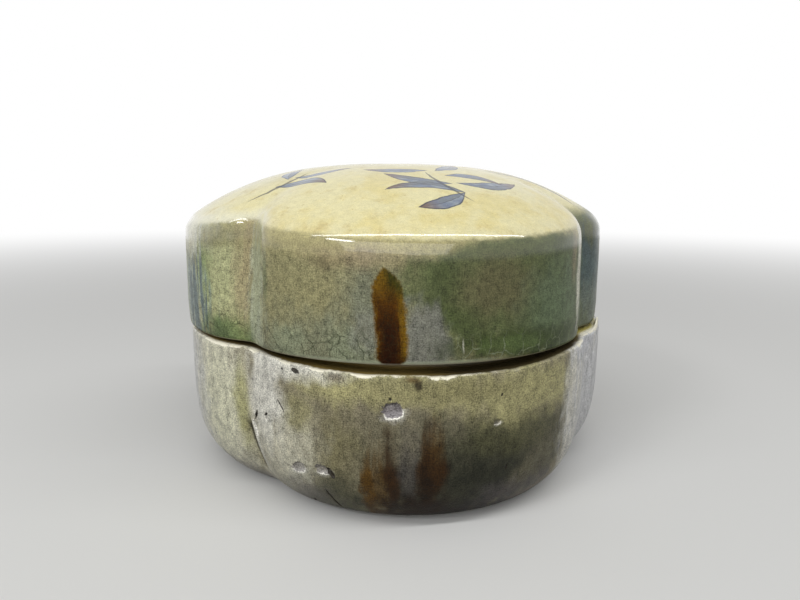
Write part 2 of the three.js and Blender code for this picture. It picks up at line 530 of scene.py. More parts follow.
@dataclass
class Base(Shell):
    """The bowl-shaped lower half with its foot ring, ledge and collar.

    Attributes:
        rim_height: The rim's height at the back.
        rim_dip: How far the rim sags at the front.
        dip_left: How wide the sag is towards the left, in degrees.
        dip_right: How wide it is towards the right.
        foot_height: How high the belly hangs above the table.
        foot_step: How far the foot ring stands in from the wall's lower end.
        foot_width: The foot ring's width.
        foot_slant: How far the foot ring's flanks lean out.
        foot_round: How far its flat face is set in from its flanks.
        foot_lift: How high its rounded edges lie.
        floor_top: The inner floor's height.
        belly_start: Where the wall begins to tuck in.
        belly_drop: The tuck's full height.
        belly_tuck: The tuck's full reach.
        belly_power: How square the belly is.
        side_tuck: How much more the side lobes tuck in, as a share.
        inner_tuck: The bowl's own tuck.
        inner_groove: How deep the grooves are on the inside.
        collar_outer: The collar's outer face, set in from the outline.
        collar_wall: The collar's thickness.
        collar_top: The collar's height.
        edge_round: The round of the collar's edges.
        rim_round: The round of the rim.
        flake_depth: How deep the rim's flaked places are.
        flake_inset: How far they are set in, as a share of their depth.
        lip_height: How far the torn lip on the right stands up.
        lip_angle: Where it is, in degrees from the front.
        lip_half: Half its width in degrees.
    """

    rim_height: float = 25.8
    rim_dip: float = 0.9
    dip_left: float = 40.0
    dip_right: float = 27.0
    foot_height: float = 0.8
    foot_step: float = 2.8
    foot_width: float = 4.5
    foot_slant: float = 0.1
    foot_round: float = 0.5
    foot_lift: float = 0.15
    floor_top: float = 5.0
    belly_start: float = 18.9
    belly_drop: float = 19.2
    belly_tuck: float = 11.9
    belly_power: float = 3.1
    side_tuck: float = 0.28
    inner_tuck: float = 12.0
    inner_groove: float = 2.8
    collar_outer: float = 4.13
    collar_wall: float = 2.2
    collar_top: float = 30.8
    edge_round: float = 0.7
    rim_round: float = 0.42
    flake_depth: float = 0.3
    flake_inset: float = 0.8
    lip_height: float = 1.6
    lip_angle: float = 66.5
    lip_half: float = 4.0

    def tuck(self, height: Span, tuck: float, drop: float) -> Span:
        """Gives how far a wall tucks in at a height."""
        fall = np.clip(self.belly_start - np.asarray(height), 0.0, None) / drop
        return tuck * (1.0 - np.maximum(0.0, 1.0 - fall**self.belly_power) ** (1.0 / self.belly_power))

    def outer_tuck(self, height: Span, angles: np.ndarray) -> np.ndarray:
        """Gives the outer wall's tuck, which is greater under the side lobes."""
        sides = 1.0 + self.side_tuck * np.cos(angles) ** 2
        return self.tuck(height, self.belly_tuck, self.belly_drop) * sides

    def rim(self, angles: np.ndarray) -> np.ndarray:
        """Gives the rim's height, which sags towards the front.

        Args:
            angles: The directions in radians.

        Returns:
            The height in each direction.
        """
        away = np.degrees(np.arctan2(np.cos(angles), -np.sin(angles)))
        away = np.abs(away) / np.where(away < 0.0, self.dip_left, self.dip_right)
        return self.rim_height - self.rim_dip * np.exp(-(away**3))

    def profile(self, angles: np.ndarray) -> Profile:
        """Lays out the rings from the underside's middle over the rim to the inner floor's middle.

        Args:
            angles: The directions of the rings' points.

        Returns:
            The rings.
        """
        rings = Profile(self.outline, angles)
        rim = self.rim(angles)
        self.add_foot(rings)
        self.add_wall(rings, rim)
        self.add_ledge(rings, rim)
        self.add_collar(rings, rim)
        self.add_bowl(rings)
        return rings

    def add_foot(self, rings: Profile) -> None:
        """Adds the underside and the foot ring.

        Args:
            rings: The profile so far.
        """
        foot = self.outer_tuck(self.foot_height, rings.angles) + self.foot_step
        heel = foot + self.foot_width
        for share in (0.0, 0.4, 0.75):
            rings.add(heel, self.foot_height, self.groove, share)
        for inset, height in (
            (heel + 0.8, self.foot_height),
            (heel + self.foot_slant, self.foot_height - self.foot_slant),
            (heel - self.foot_slant, self.foot_lift),
            (heel - self.foot_round, 0.0),
            (heel - self.foot_width / 2.0, 0.0),
            (foot + self.foot_round, 0.0),
            (foot + self.foot_slant, self.foot_lift),
            (foot - self.foot_slant, self.foot_height - self.foot_slant),
            (foot - 0.7, self.foot_height),
        ):
            rings.add(inset, height, self.groove, bare=1.0)

    def add_wall(self, rings: Profile, rim: np.ndarray) -> None:
        """Adds the belly and the upright wall up to the rim.

        Args:
            rings: The profile so far.
            rim: The rim's height in each direction.
        """
        for share in np.linspace(0.0, 1.0, 9):
            height = self.foot_height + (self.belly_start - self.foot_height) * share**1.6
            rings.add(self.outer_tuck(height, rings.angles), height, self.groove)
        top = rim - self.rim_round
        for share in (0.4, 0.8, 1.0):
            rings.add(0.0, self.belly_start + (top - self.belly_start) * share, self.groove)
        for turn in (35.0, 70.0):
            inset, drop = corner_point(self.rim_round, turn)
            rings.add(inset, rim - drop, self.groove)

    def add_ledge(self, rings: Profile, rim: np.ndarray) -> None:
        """Adds the ledge between the rim and the collar.

        Args:
            rings: The profile so far.
            rim: The rim's height in each direction.
        """
        middle = (self.groove + self.inner_groove) / 2.0
        rings.add(self.rim_round + 0.15, rim, self.groove, inner=0.5)
        rings.add(self.rim_round + 1.1, rim, middle, inner=1.0)
        rings.add(self.collar_outer - 0.5, rim, self.inner_groove, inner=1.0)
        rings.add(self.collar_outer - 0.05, rim + 0.1, self.inner_groove, inner=1.0)

    def add_collar(self, rings: Profile, rim: np.ndarray) -> None:
        """Adds the collar's outer face and its rounded top.

        Args:
            rings: The profile so far.
            rim: The rim's height in each direction.
        """
        top = self.collar_top - self.edge_round
        inside = self.collar_outer + self.collar_wall
        for share in (0.12, 0.55, 1.0):
            rings.add(self.collar_outer, rim + (top - rim) * share, self.inner_groove, inner=1.0)
        for face, side, turn, bare in (
            (self.collar_outer, 1.0, 45.0, 0.8),
            (self.collar_outer, 1.0, 90.0, 0.8),
            (inside, -1.0, 90.0, 0.8),
            (inside, -1.0, 45.0, 0.8),
            (inside, -1.0, 0.0, 0.0),
        ):
            inset, drop = corner_point(self.edge_round, turn)
            rings.add(face + side * inset, self.collar_top - drop, self.inner_groove, inner=1.0, bare=bare)

    def add_bowl(self, rings: Profile) -> None:
        """Adds the bowl's inside, down to the middle of its floor.

        Args:
            rings: The profile so far.
        """
        inside = self.collar_outer + self.collar_wall
        drop = self.belly_start - self.floor_top
        rings.add(inside, (self.collar_top + self.belly_start) / 2.0, self.inner_groove, inner=1.0)
        for share in np.linspace(0.0, 1.0, 6):
            height = self.belly_start - drop * (1.0 - (1.0 - share) ** 2)
            tuck = self.tuck(height, self.inner_tuck, drop)
            rings.add(inside + tuck, height, self.inner_groove, inner=1.0)
        for share in (0.75, 0.4, 0.0):
            rings.add(inside + self.inner_tuck, self.floor_top, self.inner_groove, share, inner=1.0)

    def build(self) -> bpy.types.Object:
        """Builds the base, wears it and gives it its glaze.

        Returns:
            The finished base.
        """
        rings = self.profile(self.outline.angles(per_side_lobe=26, per_front_lobe=34))
        piece = self.extrude("fired_base", rings, (0.0, 0.0, 0.0))
        self.soften(piece, smooth(read_points(piece)[:, 2], 0.9, 3.0))
        self.refine(piece)
        points = read_points(piece)
        add_attribute(piece, "below_rim", self.rim(outline_angles(front_angles(points))) - points[:, 2])
        self.wear(piece)
        self.glaze(piece, BaseGlaze().build())
        return piece

    def refine(self, piece: bpy.types.Object) -> None:
        """Divides the faces round each mark more finely, and those right at it once more.

        Args:
            piece: The base.
        """
        for reach in (1.3, 0.45):
            centres = read_rows(piece.data.polygons, "center") / MILLIMETRE
            angles = front_angles(centres)
            radius = np.hypot(centres[:, 0], centres[:, 1])
            # The floor and the foot ring, which lie further in, are left as they are.
            wall = radius > self.outline.radius(outline_angles(angles), 12.0)
            near = np.zeros(len(centres), bool)
            for mark in MARKS:
                across, along = mark.axes(angles, centres[:, 2])
                beside = np.maximum(0.0, np.abs(across) - mark.across)
                beyond = np.maximum(0.0, np.abs(along) - mark.along)
                near |= np.hypot(beside, beyond) < reach
            bpy.ops.object.mode_set(mode="EDIT")
            bpy.ops.mesh.select_all(action="DESELECT")
            bpy.ops.object.mode_set(mode="OBJECT")
            bpy.context.tool_settings.mesh_select_mode = (False, False, True)
            piece.data.polygons.foreach_set("select", near & wall)
            bpy.ops.object.mode_set(mode="EDIT")
            bpy.ops.mesh.subdivide(number_cuts=1, smoothness=1.0)
            bpy.ops.object.mode_set(mode="OBJECT")

    def dents(self, angles: np.ndarray, heights: np.ndarray) -> np.ndarray:
        """Gives how deep the marks reach into the wall.

        Args:
            angles: The places' directions, in degrees from the front.
            heights: Their heights.

        Returns:
            The depth at each place.
        """
        deep = np.zeros(len(angles))
        for number, mark in enumerate(MARKS):
            across, along = mark.axes(angles, heights)
            if mark.wear is Wear.FOLD:
                deep += mark.crease(across, along)
            else:
                deep = np.maximum(deep, mark.bowl(across, along, number))
        return deep

    def nibbles(self, angles: np.ndarray) -> np.ndarray:
        """Gives how much of the rim's edge is gone: a little everywhere, and more at each flake.

        Args:
            angles: The places' directions, in degrees from the front.

        Returns:
            A share of the flakes' full depth at each place.
        """
        crumbled = roughened(angles * 0.9, 0.4) + roughened(angles * 2.3, 2.0) - 0.3
        gone = 0.5 * np.clip(crumbled, 0.0, 1.0)
        for flake in FLAKES:
            away = np.abs(angles - flake.angle) / flake.half
            ragged = 0.7 + 0.3 * roughened(angles * 1.9, flake.angle)
            gone = np.maximum(gone, (1.0 - smooth(away, 0.7, 1.1)) * ragged)
        return gone

    def lip(self, angles: np.ndarray) -> np.ndarray:
        """Gives how far the torn lip stands up from the rim."""
        torn = np.exp(-(((angles - self.lip_angle) / self.lip_half) ** 2))
        return self.lip_height * torn * (0.8 + 0.2 * roughened(angles * 1.3, 1.0))

    def wear(self, piece: bpy.types.Object) -> None:
        """Dents the wall at each mark, nibbles the rim where its glaze has flaked off and tears its lip.

        Args:
            piece: The base.
        """
        points = read_points(piece)
        normals = read_rows(piece.data.vertex_normals, "vector")
        angles = front_angles(points)
        heights = points[:, 2]
        radius = np.hypot(points[:, 0], points[:, 1])
        beyond = radius - self.outline.radius(outline_angles(angles), 0.0, self.groove)
        # Only faces of the outer wall that look outwards are dented, above the foot ring.
        outwards = (normals[:, :2] * points[:, :2]).sum(-1) / np.maximum(radius, 1.0)
        outer = (outwards > 0.15) & (beyond > -14.0) & (heights > 0.9)
        points -= normals * np.where(outer, self.dents(angles, heights), 0.0)[:, None]
        # The rim's own wear stays on its outer edge, and is gone a millimetre below it.
        top = 1.0 - smooth(self.rim(outline_angles(angles)) - heights, 0.3, 1.0)
        top = top * (heights < self.rim_height + 0.1)
        nibble = self.flake_depth * self.nibbles(angles) * top * smooth(beyond, -1.5, -0.7)
        points[:, 2] += self.lip(angles) * top * smooth(beyond, -0.8, -0.45) - nibble
        points[:, :2] *= (1.0 - self.flake_inset * nibble / np.maximum(radius, 1.0))[:, None]
        write_points(piece, points)


@dataclass
class Lid(Shell):
    """The domed upper half with its upright lobed wall.

    Attributes:
        shift_x: How far the lid sits to the side.
        shift_y: How far it sits to the back.
        edge: The height of its lower edge.
        height: From its lower edge to its shoulder.
        wall: The wall's thickness.
        curl: How far the wall's foot curls in.
        curl_height: Where the curl begins.
        rise: How far the dome rises above the shoulder.
        power: How flat the dome is.
        thickness: The dome's thickness.
        dip: How far the dome dips at a notch.
        dip_fade: How quickly that dip fades inwards.
        shoulder: The shoulder's round.
        level: How level the shoulder runs round a lobe, from 0 to 1.
        edge_round: The round of its lower edge.
        foot_groove: How deep the grooves are at the lower edge.
    """

    shift_x: float = -0.55
    shift_y: float = 0.55
    edge: float = 26.1
    height: float = 18.9
    wall: float = 3.0
    curl: float = 0.3
    curl_height: float = 4.0
    rise: float = 10.7
    power: float = 2.9
    thickness: float = 3.2
    dip: float = 0.7
    dip_fade: float = 8.0
    shoulder: float = 1.9
    level: float = 0.45
    edge_round: float = 0.7
    foot_groove: float = 1.3

    def dome(self, angles: np.ndarray, radius: np.ndarray) -> np.ndarray:
        """Gives the dome's height above the table.

        Args:
            angles: The directions in radians.
            radius: How far from the middle.

        Returns:
            The height at each place.
        """
        edge = self.outline.radius(angles, 0.0, self.groove)
        reach = self.outline.half_length + self.level * (edge - self.outline.half_length)
        dip = self.dip * self.outline.bell(angles, edge) * (radius / edge) ** self.dip_fade
        return self.edge + self.height + self.rise * (1.0 - (radius / reach) ** self.power) - dip

    def under(self, angles: np.ndarray, radius: np.ndarray) -> np.ndarray:
        """Gives the height of the dome's inner face."""
        return self.dome(angles, radius) - self.thickness

    def profile(self, angles: np.ndarray) -> Profile:
        """Lays out the rings from the top of the dome over the wall to the middle of the hollow.

        Args:
            angles: The directions of the rings' points.

        Returns:
            The rings.
        """
        rings = Profile(self.outline, angles)
        for share in (0.0, 0.13, 0.27, 0.4, 0.53, 0.65, 0.76, 0.86, 0.94, 1.0):
            rings.add(self.shoulder, self.dome, self.groove, share, dome=1.0)
        for turn, dome in ((28.0, 0.85), (56.0, 0.62), (84.0, 0.3)):
            fall, inset = corner_point(self.shoulder, turn)
            rings.add(inset, lambda a, r, fall=fall: self.dome(a, r) - fall, self.groove, dome=dome)
        top = self.dome(angles, self.outline.radius(angles, 0.0, self.groove)) - self.shoulder
        low = self.edge + self.curl_height
        for share in np.linspace(0.15, 1.0, 7):
            deep = self.groove + (self.foot_groove - self.groove) * share
            rings.add(0.0, top + (low - top) * share, deep)
        for share in (0.4, 0.75, 1.0):
            height = self.edge + self.curl_height + (self.edge_round - self.curl_height) * share
            rings.add(self.curl * share**2, height, self.foot_groove)
        self.add_edge(rings)
        self.add_hollow(rings, top)
        return rings

    def add_edge(self, rings: Profile) -> None:
        """Adds the rounded lower edge.

        Args:
            rings: The profile so far.
        """
        for turn in (35.0, 70.0):
            inset, up = corner_point(self.edge_round, turn)
            rings.add(self.curl + inset, self.edge + up, self.foot_groove, bare=0.5)
        middle = (self.groove + self.foot_groove) / 2.0
        rings.add((self.wall + self.curl) / 2.0, self.edge, middle, inner=0.5, bare=1.0)
        for turn in (70.0, 35.0, 0.0):
            inset, up = corner_point(self.edge_round, turn)
            rings.add(self.wall - inset, self.edge + up, self.groove, inner=1.0, bare=1.0)

    def add_hollow(self, rings: Profile, top: np.ndarray) -> None:
        """Adds the inner wall and the dome's inner face.

        Args:
            rings: The profile so far.
            top: The outer wall's upper end in each direction.
        """
        low = self.edge + self.edge_round
        high = top - self.thickness
        for share, bare in ((0.15, 0.6), (0.4, 0.0), (0.7, 0.0), (1.0, 0.0)):
            rings.add(self.wall, low + (high - low) * share, self.groove, inner=1.0, bare=bare)
        for share in (1.0, 0.94, 0.84, 0.7, 0.5, 0.25, 0.0):
            rings.add(self.wall + self.shoulder / 2.0, self.under, self.groove, share, inner=1.0)

    def build(self) -> bpy.types.Object:
        """Builds the lid and gives it its glaze.

        Returns:
            The finished lid.
        """
        rings = self.profile(self.outline.angles(per_side_lobe=26, per_front_lobe=32))
        piece = self.extrude("fired_lid", rings, (self.shift_x, self.shift_y, 0.0))
        self.soften(piece, smooth(read_points(piece)[:, 2], self.edge + 0.5, self.edge + 3.0))
        self.glaze(piece, LidGlaze().build())
        return piece


class Value:
    """A number that changes over a surface, with Python's own operators."""

    def __init__(self, graph: "Nodes", socket: bpy.types.NodeSocket) -> None:
        """Wraps a socket of a graph."""
        self.graph = graph
        self.socket = socket

    def _math(self, operation: str, first: Any, second: Any = 0.0) -> "Value":
        """Adds a Math node and gives its result."""
        node = self.graph.add("ShaderNodeMath", {0: first, 1: second}, operation=operation)
        return Value(self.graph, node.outputs[0])

    def __add__(self, other: Any) -> "Value":
        """Adds."""
        return self._math("ADD", self, other)

    def __radd__(self, other: Any) -> "Value":
        """Adds from the right."""
        return self._math("ADD", other, self)

    def __sub__(self, other: Any) -> "Value":
        """Subtracts."""
        return self._math("SUBTRACT", self, other)

    def __rsub__(self, other: Any) -> "Value":
        """Subtracts from the right."""
        return self._math("SUBTRACT", other, self)

    def __mul__(self, other: Any) -> "Value":
        """Multiplies."""
        return self._math("MULTIPLY", self, other)

    def __rmul__(self, other: Any) -> "Value":
        """Multiplies from the right."""
        return self._math("MULTIPLY", other, self)

    def __truediv__(self, other: Any) -> "Value":
        """Divides."""
        return self._math("DIVIDE", self, other)

    def __pow__(self, other: Any) -> "Value":
        """Raises to a power."""
        return self._math("POWER", self, other)

    def __neg__(self) -> "Value":
        """Changes the sign."""
        return self._math("MULTIPLY", self, -1.0)

    def __abs__(self) -> "Value":
        """Gives the size without the sign."""
        return self._math("ABSOLUTE", self)

    def over(self, other: Any) -> "Value":
        """Gives the larger of two numbers."""
        return self._math("MAXIMUM", self, other)

    def under(self, other: Any) -> "Value":
        """Gives the smaller of two numbers."""
        return self._math("MINIMUM", self, other)

    def towards(self, other: Any) -> "Value":
        """Gives the direction of the point (other, self) in degrees."""
        return self._math("ARCTAN2", self, other) * (180.0 / math.pi)

    def rise(self, low: float, high: float) -> "Value":
        """Rises softly from 0 to 1, or falls where high is below low.

        Args:
            low: Where it is 0.
            high: Where it is 1.

        Returns:
            A value from 0 to 1.
        """
        start, end = (low, high) if low < high else (high, low)
        node = self.graph.add(
            "ShaderNodeMapRange",
            {"Value": self, "From Min": start, "From Max": end},
            interpolation_type="SMOOTHSTEP",
        )
        risen = Value(self.graph, node.outputs["Result"])
        return risen if low < high else 1.0 - risen

    def within(self, low: float, high: float, soft: float) -> "Value":
        """Gives 1 between low and high, with soft ends."""
        return self.rise(low - soft, low + soft) * self.rise(high + soft, high - soft)


class Colour:
    """A colour that changes over a surface."""

    def __init__(self, graph: "Nodes", socket: bpy.types.NodeSocket) -> None:
        """Wraps a socket of a graph."""
        self.graph = graph
        self.socket = socket

    def toward(self, other: "Colour | Tint", share: Value | float) -> "Colour":
        """Mixes in another colour by a share."""
        node = self.graph.add("ShaderNodeMix", {"Factor": share, "A": self, "B": other}, data_type="RGBA")
        return Colour(self.graph, node.outputs["Result"])

    def times(self, strength: Value) -> "Colour":
        """Makes the colour lighter or darker."""
        node = self.graph.add("ShaderNodeVectorMath", {"Vector": self, "Scale": strength}, operation="SCALE")
        return Colour(self.graph, node.outputs["Vector"])


class Nodes:
    """The nodes of a material or of the surroundings."""

    def __init__(self, owner: bpy.types.Material | bpy.types.World) -> None:
        """Starts with no nodes.

        Args:
            owner: The material or the surroundings.
        """
        owner.use_nodes = True
        self.owner = owner
        self.tree = owner.node_tree
        self.tree.nodes.clear()

    def add(self, kind: str, inputs: dict[Any, Any] | None = None, **settings: Any) -> Any:
        """Adds a node.

        Args:
            kind: The node's type.
            inputs: Values or links of its sockets, by name or number.
            settings: Its settings, which are set first.

        Returns:
            The node.
        """
        node = self.tree.nodes.new(kind)
        for name, value in settings.items():
            setattr(node, name, value)
        for name, value in (inputs or {}).items():
            link = value.socket if isinstance(value, (Value, Colour)) else value
            if isinstance(link, bpy.types.NodeSocket):
                self.tree.links.new(link, node.inputs[name])
            else:
                node.inputs[name].default_value = link
        return node

    def pair(self, first: Value, second: Value) -> bpy.types.NodeSocket:
        """Joins two numbers to a flat place."""
        return self.add("ShaderNodeCombineXYZ", {"X": first, "Y": second}).outputs["Vector"]

    def split(self, place: bpy.types.NodeSocket) -> tuple[Value, ...]:
        """Gives a place's three numbers."""
        parts = self.add("ShaderNodeSeparateXYZ", {"Vector": place}).outputs
        return tuple(Value(self, part) for part in parts)

    def vector_math(self, operation: str, output: str, *vectors: Any) -> bpy.types.NodeSocket:
        """Adds a Vector Math node and gives one of its outputs."""
        node = self.add("ShaderNodeVectorMath", dict(enumerate(vectors)), operation=operation)
        return node.outputs[output]

    def seen_from(
        self,
        place: bpy.types.NodeSocket,
        middle: tuple[float, float],
        half: tuple[float, float],
        turn: float,
    ) -> bpy.types.NodeSocket:
        """Gives a flat place as seen from an ellipse, whose edge is at 1.

        Args:
            place: The flat place.
            middle: The ellipse's middle.
            half: Half its sizes.
            turn: Its turn in degrees.

        Returns:
            The flat place along and across the ellipse, as shares of half its sizes.
        """
        (x, y), (wide, tall) = middle, half
        if not turn:
            scale, start = (1.0 / wide, 1.0 / tall, 0.0), (-x / wide, -y / tall, 0.0)
            return self.vector_math("MULTIPLY_ADD", "Vector", place, scale, start)
        cosine, sine = math.cos(math.radians(turn)), math.sin(math.radians(turn))
        away = self.vector_math("SUBTRACT", "Vector", place, (x, y, 0.0))
        along = self.vector_math("DOT_PRODUCT", "Value", away, (cosine / wide, sine / wide, 0.0))
        across = self.vector_math("DOT_PRODUCT", "Value", away, (-sine / tall, cosine / tall, 0.0))
        return self.pair(Value(self, along), Value(self, across))

    def length(self, place: bpy.types.NodeSocket) -> Value:
        """Gives how far a place is from the middle."""
        return Value(self, self.vector_math("LENGTH", "Value", place))

    def plain(self, colour: Tint) -> Colour:
        """Gives a plain colour to start a mix from."""
        node = self.add("ShaderNodeMix", {"A": colour, "B": colour}, data_type="RGBA")
        return Colour(self, node.outputs["Result"])


@dataclass(frozen=True)
class Shine:
    """What is the same all over a glaze.

    Attributes:
        specular: How strongly the body under the clear coat shines.
        coat_ior: How strongly the coat bends light.
        coat_roughness: How blurred its reflections are.
        depth: How strongly the fine relief shows, from 0 to 1.
        ior: How strongly the body bends light.
    """

    specular: float
    coat_ior: float
    coat_roughness: float
    depth: float
    ior: float = 1.5


class Graph(Nodes):
    """The nodes of one material, with the places of its surface in millimetres and degrees."""

    def __init__(self, name: str) -> None:
        """Makes an empty material.

        Args:
            name: The material's name.
        """
        super().__init__(bpy.data.materials.new(name))
        object_place = self.add("ShaderNodeTexCoord").outputs["Object"]
        scaled = self.add(
            "ShaderNodeVectorMath", {"Vector": object_place, "Scale": 1.0 / MILLIMETRE}, operation="SCALE"
        )
        self.place = scaled.outputs["Vector"]
        self.x, self.y, self.height = self.split(self.place)
        self.angle = self.x.towards(-self.y)

    def attribute(self, name: str) -> Value:
        """Reads a number that the mesh carries."""
        return Value(self, self.add("ShaderNodeAttribute", attribute_name=name).outputs["Fac"])

    def noise(self, size: float, detail: float = 3.0, stretch: float = 1.0, seed: float = 0.0) -> Value:
        """Gives cloudy noise around 0.

        Args:
            size: The size of its clouds in millimetres.
            detail: How many finer layers it has.
            stretch: How many times longer the clouds are upwards than sideways.
            seed: A shift that makes it another noise.

        Returns:
            A value from about -1 to 1.
        """
        mapped = self.add(
            "ShaderNodeMapping",
            {
                "Vector": self.place,
                "Location": (seed * 7.3, seed * 3.1, seed * 5.7),
                "Scale": (1.0 / size, 1.0 / size, 1.0 / (size * stretch)),
            },
        )
        clouds = {"Vector": mapped.outputs["Vector"], "Scale": 1.0, "Detail": detail}
        return (Value(self, self.add("ShaderNodeTexNoise", clouds).outputs["Fac"]) - 0.5) * 2.0

    def cracks(self, size: float, width: float, seed: float = 0.0) -> tuple[Value, Value]:
        """Gives a net of fine cracks.

        Args:
            size: The size of its cells in millimetres.
            width: The width of a crack in millimetres.
            seed: A shift that makes it another net.

        Returns:
            A value that is 1 on a crack and 0 inside the cells, and one that differs from cell to cell.
        """
        bend = self.add("ShaderNodeTexNoise", {"Vector": self.place, "Scale": 0.9 / size, "Detail": 3.0})
        reach = (size * 0.9,) * 3
        bent = self.vector_math("MULTIPLY_ADD", "Vector", bend.outputs["Color"], reach, self.place)
        mapped = self.add(
            "ShaderNodeMapping",
            {"Vector": bent, "Location": (seed, seed * 2.0, 0.0), "Scale": (1.0 / size,) * 3},
        )
        cells = {"Vector": mapped.outputs["Vector"], "Scale": 1.0}
        edges = self.add("ShaderNodeTexVoronoi", cells, feature="DISTANCE_TO_EDGE")
        tones = self.add("ShaderNodeTexVoronoi", cells, feature="F1")
        net = Value(self, edges.outputs["Distance"]).rise(width / size, 0.2 * width / size)
        return net, Value(self, tones.outputs["Color"])

    def finish(
        self, colour: Colour, roughness: Value, coat: Value, relief: Value, shine: Shine
    ) -> bpy.types.Material:
        """Joins everything to a shader.

        Args:
            colour: The surface's colour.
            roughness: Its roughness.
            coat: How much clear glaze lies on it.
            relief: Its fine relief in millimetres.
            shine: What is the same all over.

        Returns:
            The material.
        """
        bump = self.add(
            "ShaderNodeBump", {"Height": relief, "Distance": MILLIMETRE, "Strength": shine.depth}
        )
        shader = self.add(
            "ShaderNodeBsdfPrincipled",
            {
                "Base Color": colour,
                "Roughness": roughness,
                "Coat Weight": coat,
                "Normal": bump.outputs["Normal"],
                "IOR": shine.ior,
                "Specular IOR Level": shine.specular,
                "Coat IOR": shine.coat_ior,
                "Coat Roughness": shine.coat_roughness,
            },
        )
        self.add("ShaderNodeOutputMaterial", {"Surface": shader.outputs["BSDF"]})
        return self.owner


@dataclass(frozen=True)
class Wash:
    """A soft oval cloud of colour on a wall.

    Attributes:
        colour: Its colour.
        angle: Where its middle is, in degrees from the front.
        height: Its middle's height in millimetres.
        wide: Half its width in degrees.
        tall: Half its height in millimetres.
        strength: How much it covers.
        soft: How soft its edge is, as a share of its size.
        turn: How far it is turned to the left, in degrees.
        streaks: How much it breaks into upright streaks, from 0 to 1.
        ragged: How far its edge strays, as a share of its size.
    """

    colour: Tint
    angle: float
    height: float
    wide: float
    tall: float
    strength: float = 0.8
    soft: float = 0.5
    turn: float = 0.0
    streaks: float = 0.0
    ragged: float = 0.7

    def angles(self) -> tuple[float, ...]:
        """Gives the directions in which its middle is found.

        Returns:
            Its angle, and the same place's other angle where it reaches round the back.
        """
        reach = self.wide * (1.0 + self.soft + self.ragged)
        other = self.angle - math.copysign(360.0, self.angle)
        return (self.angle, other) if abs(self.angle) + reach > 180.0 else (self.angle,)


class Washes:
    """Lays clouds of colour over each other, with ragged edges."""

    def __init__(self, graph: Graph, warp: float) -> None:
        """Prepares the ragged places that all clouds of a wall share.

        Args:
            graph: The material's graph.
            warp: How far the edges stray, in millimetres.
        """
        self.graph = graph
        broad = graph.noise(6.0, detail=4.0, stretch=1.3, seed=1.0)
        fine = graph.noise(1.4, detail=4.0, stretch=1.5, seed=21.0)
        # A millimetre round the wall is 1.45 degrees.
        self.angle = graph.angle + (broad + fine * 0.4) * (warp * 1.45)
        self.height = graph.height + (graph.noise(5.0, detail=4.0, seed=3.0) + fine * 0.4) * warp
        self.place = graph.pair(self.angle, self.height)
        self.patch = graph.noise(2.2, detail=5.0, stretch=1.6, seed=5.0)
        self.streak = graph.noise(0.8, detail=4.0, stretch=16.0, seed=2.0)

    def lay(self, colour: Colour, washes: tuple[Wash, ...]) -> Colour:
        """Lays clouds over a colour.

        Args:
            colour: The colour below.
            washes: The clouds, the lowest first.

        Returns:
            The colour with all clouds on it.
        """
        # Clouds whose edges stray alike share a node.
        ragged = {share: self.patch * share for share in sorted({wash.ragged for wash in washes})}
        for wash in washes:
            half = (wash.wide, wash.tall)
            for angle in wash.angles():
                oval = self.graph.seen_from(self.place, (angle, wash.height), half, wash.turn)
                away = self.graph.length(oval) + ragged[wash.ragged]
                if wash.streaks:
                    away = away + self.streak * (wash.streaks * 1.6)
                cover = away.rise(1.0 + wash.soft, 1.0 - wash.soft) * wash.strength
                colour = colour.toward(wash.colour, cover)
        return colour


class Grain:
    """The fine structure that both glazes share."""

    def __init__(self, graph: Graph, size: float, stretch: float) -> None:
        """Makes its noises.

        Args:
            graph: The material's graph.
            size: The size of the mottling in millimetres.
            stretch: How many times longer the mottling is upwards than sideways.
        """
        self.fine = graph.noise(0.2, detail=2.0, seed=11.0)
        self.mottle = graph.noise(size, detail=5.0, stretch=stretch, seed=16.0)
        upright = graph.noise(0.16, detail=2.0, stretch=6.0, seed=22.0)
        self.thread = upright + graph.noise(0.9, detail=2.0, stretch=0.16, seed=23.0)


class Brush(Enum):
    """What a brush stroke is painted with."""

    WASH = "slate wash with an ink outline"
    INK = "thin ink"


@dataclass(frozen=True)
class Stroke:
    """One leaf or stem painted on the dome.

    Attributes:
        brush: What it is painted with.
        x: Where it starts, to the side.
        y: Where it starts, to the front or back.
        heading: Which way it runs, in degrees from the right.
        length: Its length.
        width: Half its width at its widest.
        bend: How far its middle bows to the left of its way.
    """

    brush: Brush
    x: float
    y: float
    heading: float
    length: float
    width: float
    bend: float


